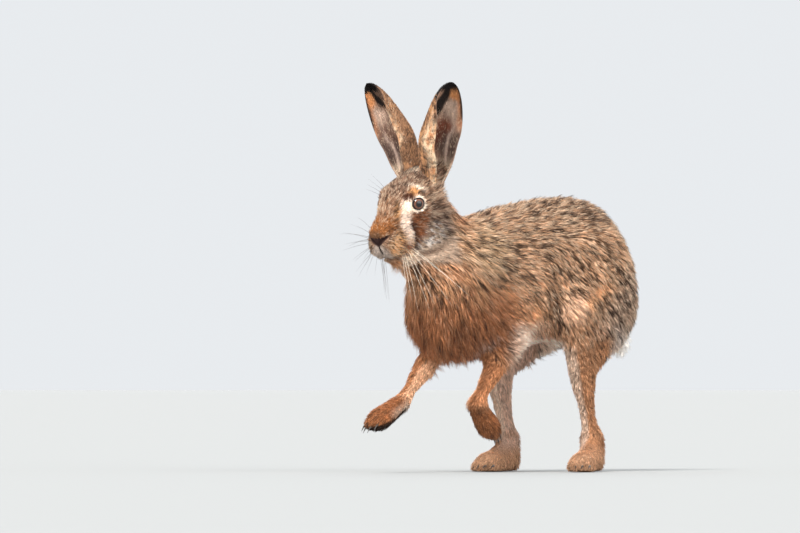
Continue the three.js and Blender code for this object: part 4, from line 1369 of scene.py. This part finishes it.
def grow(coat, name, chosen):
    """Makes one piece of coat: locks that share a tip with their neighbours, as hair clumps."""
    c = {key: value[chosen] for key, value in coat.items()}
    count = len(c["root"])
    part = PARTS[int(np.bincount(c["part"]).argmax())]
    short = part in ("head", "hindfoot", "forepaw")
    sleek = part in ("shank", "forearm", "hindfoot", "forepaw")
    loose = 0.55 if sleek else 1.0
    leaders = max(4, count // (5 if short else 6))
    lead = rng.permutation(count)[:leaders]
    leader = lead[nearest_of(c["root"][lead], c["root"])]
    each, shared = variations(leader)

    turn = (shared(0.17) + each(0.12)) * loose
    way = unit(c["way"] + np.cross(c["out"], c["way"]) * turn[:, None])
    length = c["length"] * np.clip(1 + shared(0.17) + each(0.13), 0.45, 1.6)
    lift = 0.9 + (shared(0.14) + each(0.18)) * loose - 0.25 * sleek
    rise = c["depth"] * np.clip(lift, 0.25, 1.5) * (1.5 if part == "tail" else 1)
    tip = c["root"] + way * length[:, None] + c["out"] * rise[:, None]
    gather = np.clip((0.42 if short or sleek or part == "tail" else 0.6) + each(0.16), 0, 0.92)
    tip = tip + (tip[leader] - tip) * gather[:, None]
    middle = c["root"] + (tip - c["root"]) * 0.5 + c["out"] * (rise * 0.22)[:, None]
    for p in (middle, tip):
        p[:, 2] = np.maximum(p[:, 2], 0.6 - SHIFT[2])

    deep, band, end = lock_shades(c, leader, short)
    width = c["width"] * np.clip(1 + each(0.22), 0.6, 1.6)
    axis = {"head": HEAD[:, 1], "trunk": (0, 1, 0), "neck": (0, 0.6, -0.8)}.get(part, (0, 0.1, -1))
    chart = own_chart(c["root"], axis)
    bent = rng.random(count) < (0.0 if short else 0.4)
    made, start = [], 0
    for some, shades in ((bent, [deep, band, end]), (~bent, [mix(deep, band, 0.55), end])):
        if not some.any():
            continue
        co, faces, tints, uv = locks(
            (c["root"] - c["out"] * 0.6)[some], middle[some], tip[some], c["out"][some], width[some],
            [shade[some] for shade in shades], chart[some], len(shades) == 3,
        )
        made.append((co, faces + start, tints, uv))
        start += len(co)
    co, faces, tints, uv = (np.concatenate(arrays) for arrays in zip(*made))
    filled(name, co, faces, VELVET if short else FUR, [("tint", tints)], uv)


coat = body_coat()
label = piece_of(coat)
for name in sorted(set(label)):
    grow(coat, name, label == name)


def ear_coat(ear, name, density=0.8):
    """Short hair on both faces of an ear, lying to its tip, and a longer fringe over its front margin."""
    steps = 90
    t = (np.arange(steps) + 0.5) / steps
    width = 2 * ear_half_width(t) * ear_wrap(t) / np.sin(np.minimum(ear_wrap(t), math.pi / 2))
    count = int(np.sum(width) * ear["length"] / steps * density)
    parts = []
    for inside in (0, 1):
        ts = (rng.choice(steps, count, p=width / width.sum()) + rng.random(count)) / steps
        spread = rng.uniform(-0.97, 0.97, count)
        parts.append((np.clip(ts, 0.03, 0.995), spread, np.full(count, inside), np.zeros(count)))
    fringe = int(count * 0.16)
    ts = rng.uniform(0.1, 0.72, fringe)
    parts.append((ts, ear["side"] * rng.uniform(0.88, 0.98, fringe), np.ones(fringe), np.ones(fringe)))
    ts, shares, inside, fringed = (np.concatenate(p).astype(float) for p in zip(*parts))
    count = len(ts)

    depth = np.where(inside > 0, ear_wall(ts) - 0.6, 0.6)
    root = ear_points(ear, ts, shares, depth)
    above = ear_points(ear, np.clip(ts + 0.01, 0, 1), shares, depth)
    up = unit(above - ear_points(ear, ts - 0.01, shares, depth))
    across = unit(ear_points(ear, ts, shares + 0.02, depth) - root)
    inward = unit(ear_points(ear, ts, shares, depth + 1) - root)
    out = inward * np.where(inside > 0, 1.0, -1.0)[:, None]
    length = mix(mix(3.8, 5.0, inside), rng.uniform(7, 14, count), fringed) * rng.uniform(0.7, 1.25, count)
    lean = rng.normal(0, 0.16, count) - fringed * ear["side"] * rng.uniform(0.1, 0.6, count)
    way = unit(up + across * lean[:, None])
    rise = mix(rng.uniform(0.5, 1.2, count), rng.uniform(-1.0, 2.5, count), fringed)
    length = np.minimum(length, np.maximum((1.0 - ts) * 160, 1.8))
    tip = root + way * length[:, None] + out * rise[:, None]
    middle = root + (tip - root) * 0.5 + out * 0.4

    colour = ear_colour(ear, ts, shares, inside) * rng.uniform(0.8, 1.35, count)[:, None]
    cream = fringed > 0
    warm = rng.random(cream.sum()) ** 2.2
    bright = rng.uniform(0.8, 1.1, cream.sum())
    colour[cream] = mix(tone(255, 232, 204), tone(222, 150, 96), warm) * bright[:, None]
    luck = rng.random(count)
    plain = (inside == 0) & (ts < 0.88)
    colour[plain & (luck < 0.2)] = mix(colour[plain & (luck < 0.2)], BUFF, 0.7)
    colour[plain & (luck > 0.62)] = DARK
    stray = (inside > 0) & (ts < 0.7) & (luck > 0.86) & ~cream
    colour[stray] = mix(colour[stray], tone(250, 222, 190), 0.7)

    chart = np.stack([(shares * 0.5 + 0.5 + inside) / 2 * 0.98 + 0.005, ts * 0.985 + 0.005], axis=1)
    width = mix(0.36, 0.3, fringed) * rng.uniform(0.8, 1.3, count)
    shades = [colour * 0.75, colour * 1.15]
    co, faces, tints, uv = locks(root - out * 0.3, middle, tip, out, width, shades, chart, False)
    filled(name, co, faces, VELVET, [("tint", tints)], uv)


for side_name, ear in EARS.items():
    ear_coat(ear, f"coat_ear_{side_name}")


# Whiskers


def whisker(start, way, length, sag, radius, steps=9, around=5):
    """A long stiff hair, bending down along its length."""
    way = unit(np.array(way, float))
    s = np.linspace(0, 1, steps + 1)
    line = start + way * (length * s)[:, None] + np.array([0, 0, -1.0]) * (sag * s**2)[:, None]
    tangent = unit(np.gradient(line, axis=0))
    side = unit(np.cross(tangent, [0.1, 0.2, 1.0]))
    top = np.cross(tangent, side)
    turn = (np.arange(around) * 2 * math.pi / around)[None, :, None]
    thick = radius * (1 - 0.9 * s**1.3)
    round_it = np.cos(turn) * side[:, None] + np.sin(turn) * top[:, None]
    ring = line[:, None] + thick[:, None, None] * round_it
    return ring.reshape(-1, 3), tube_faces(steps, around)


def whiskers():
    """Dark ones on the muzzle and brows, and long ones swept back under the jaw, pale on the left."""
    co, faces, tints = [], [], []
    count = 0

    def add(start, way, length, sag, radius, colour):
        nonlocal count
        p, f = whisker(from_head(start), np.array(way, float) @ HEAD.T, length, sag, radius)
        co.append(p)
        faces.append(f + count)
        tints.append(np.tile(colour, (len(p), 1)))
        count += len(p)

    for side in (1, -1):
        for row in range(4):
            for k in range(4):
                out, low = 14 + 1.0 * k - 0.4 * abs(row - 2), -23 - 4.6 * row - 0.5 * k
                way = np.array([side * (0.85 - 0.05 * k), -0.30 + 0.2 * k, 0.45 - 0.4 * row])
                length = 30 + 5 * k + 8 * rng.random()
                way = way + rng.normal(0, 0.08, 3)
                add((side * out, -56 + 4.6 * k, low), way, length, 5 + 2 * k, 0.22, tone(66, 50, 44))
        swept = -0.2 if side > 0 else 0.5
        jaw_colour = tone(255, 240, 218) if side > 0 else tone(84, 62, 52)
        for k in range(8 if side > 0 else 5):
            start = (side * (16.5 + 0.25 * k), -46 + 2.8 * k, -49 + 0.5 * (k % 3))
            droop = math.radians(86 - 6.5 * k)
            level = math.cos(droop)
            way = np.array([side * (0.77 * level + 0.2), 0.64 * level + swept, -math.sin(droop)])
            length = 46 + 6 * k + 12 * rng.random()
            add(start, (way + rng.normal(0, 0.06, 3)) @ HEAD, length, 5, 0.21, jaw_colour)
        for k in range(4):
            way = (side * 0.8, -0.35 + 0.2 * k, 0.8)
            add((side * (21 + 0.4 * k), -8 + 5 * k, 12), way, 20 + 3 * k, 2, 0.17, tone(60, 46, 40))
    tint = [("tint", np.concatenate(tints))]
    filled("whiskers", np.concatenate(co), np.concatenate(faces), WHISKER, tint)


whiskers()


# Floor

bpy.ops.mesh.primitive_plane_add(size=900, location=(0, 0, 0))
floor = bpy.context.object
floor.name = "floor"
floor.data.materials.append(floor_material())
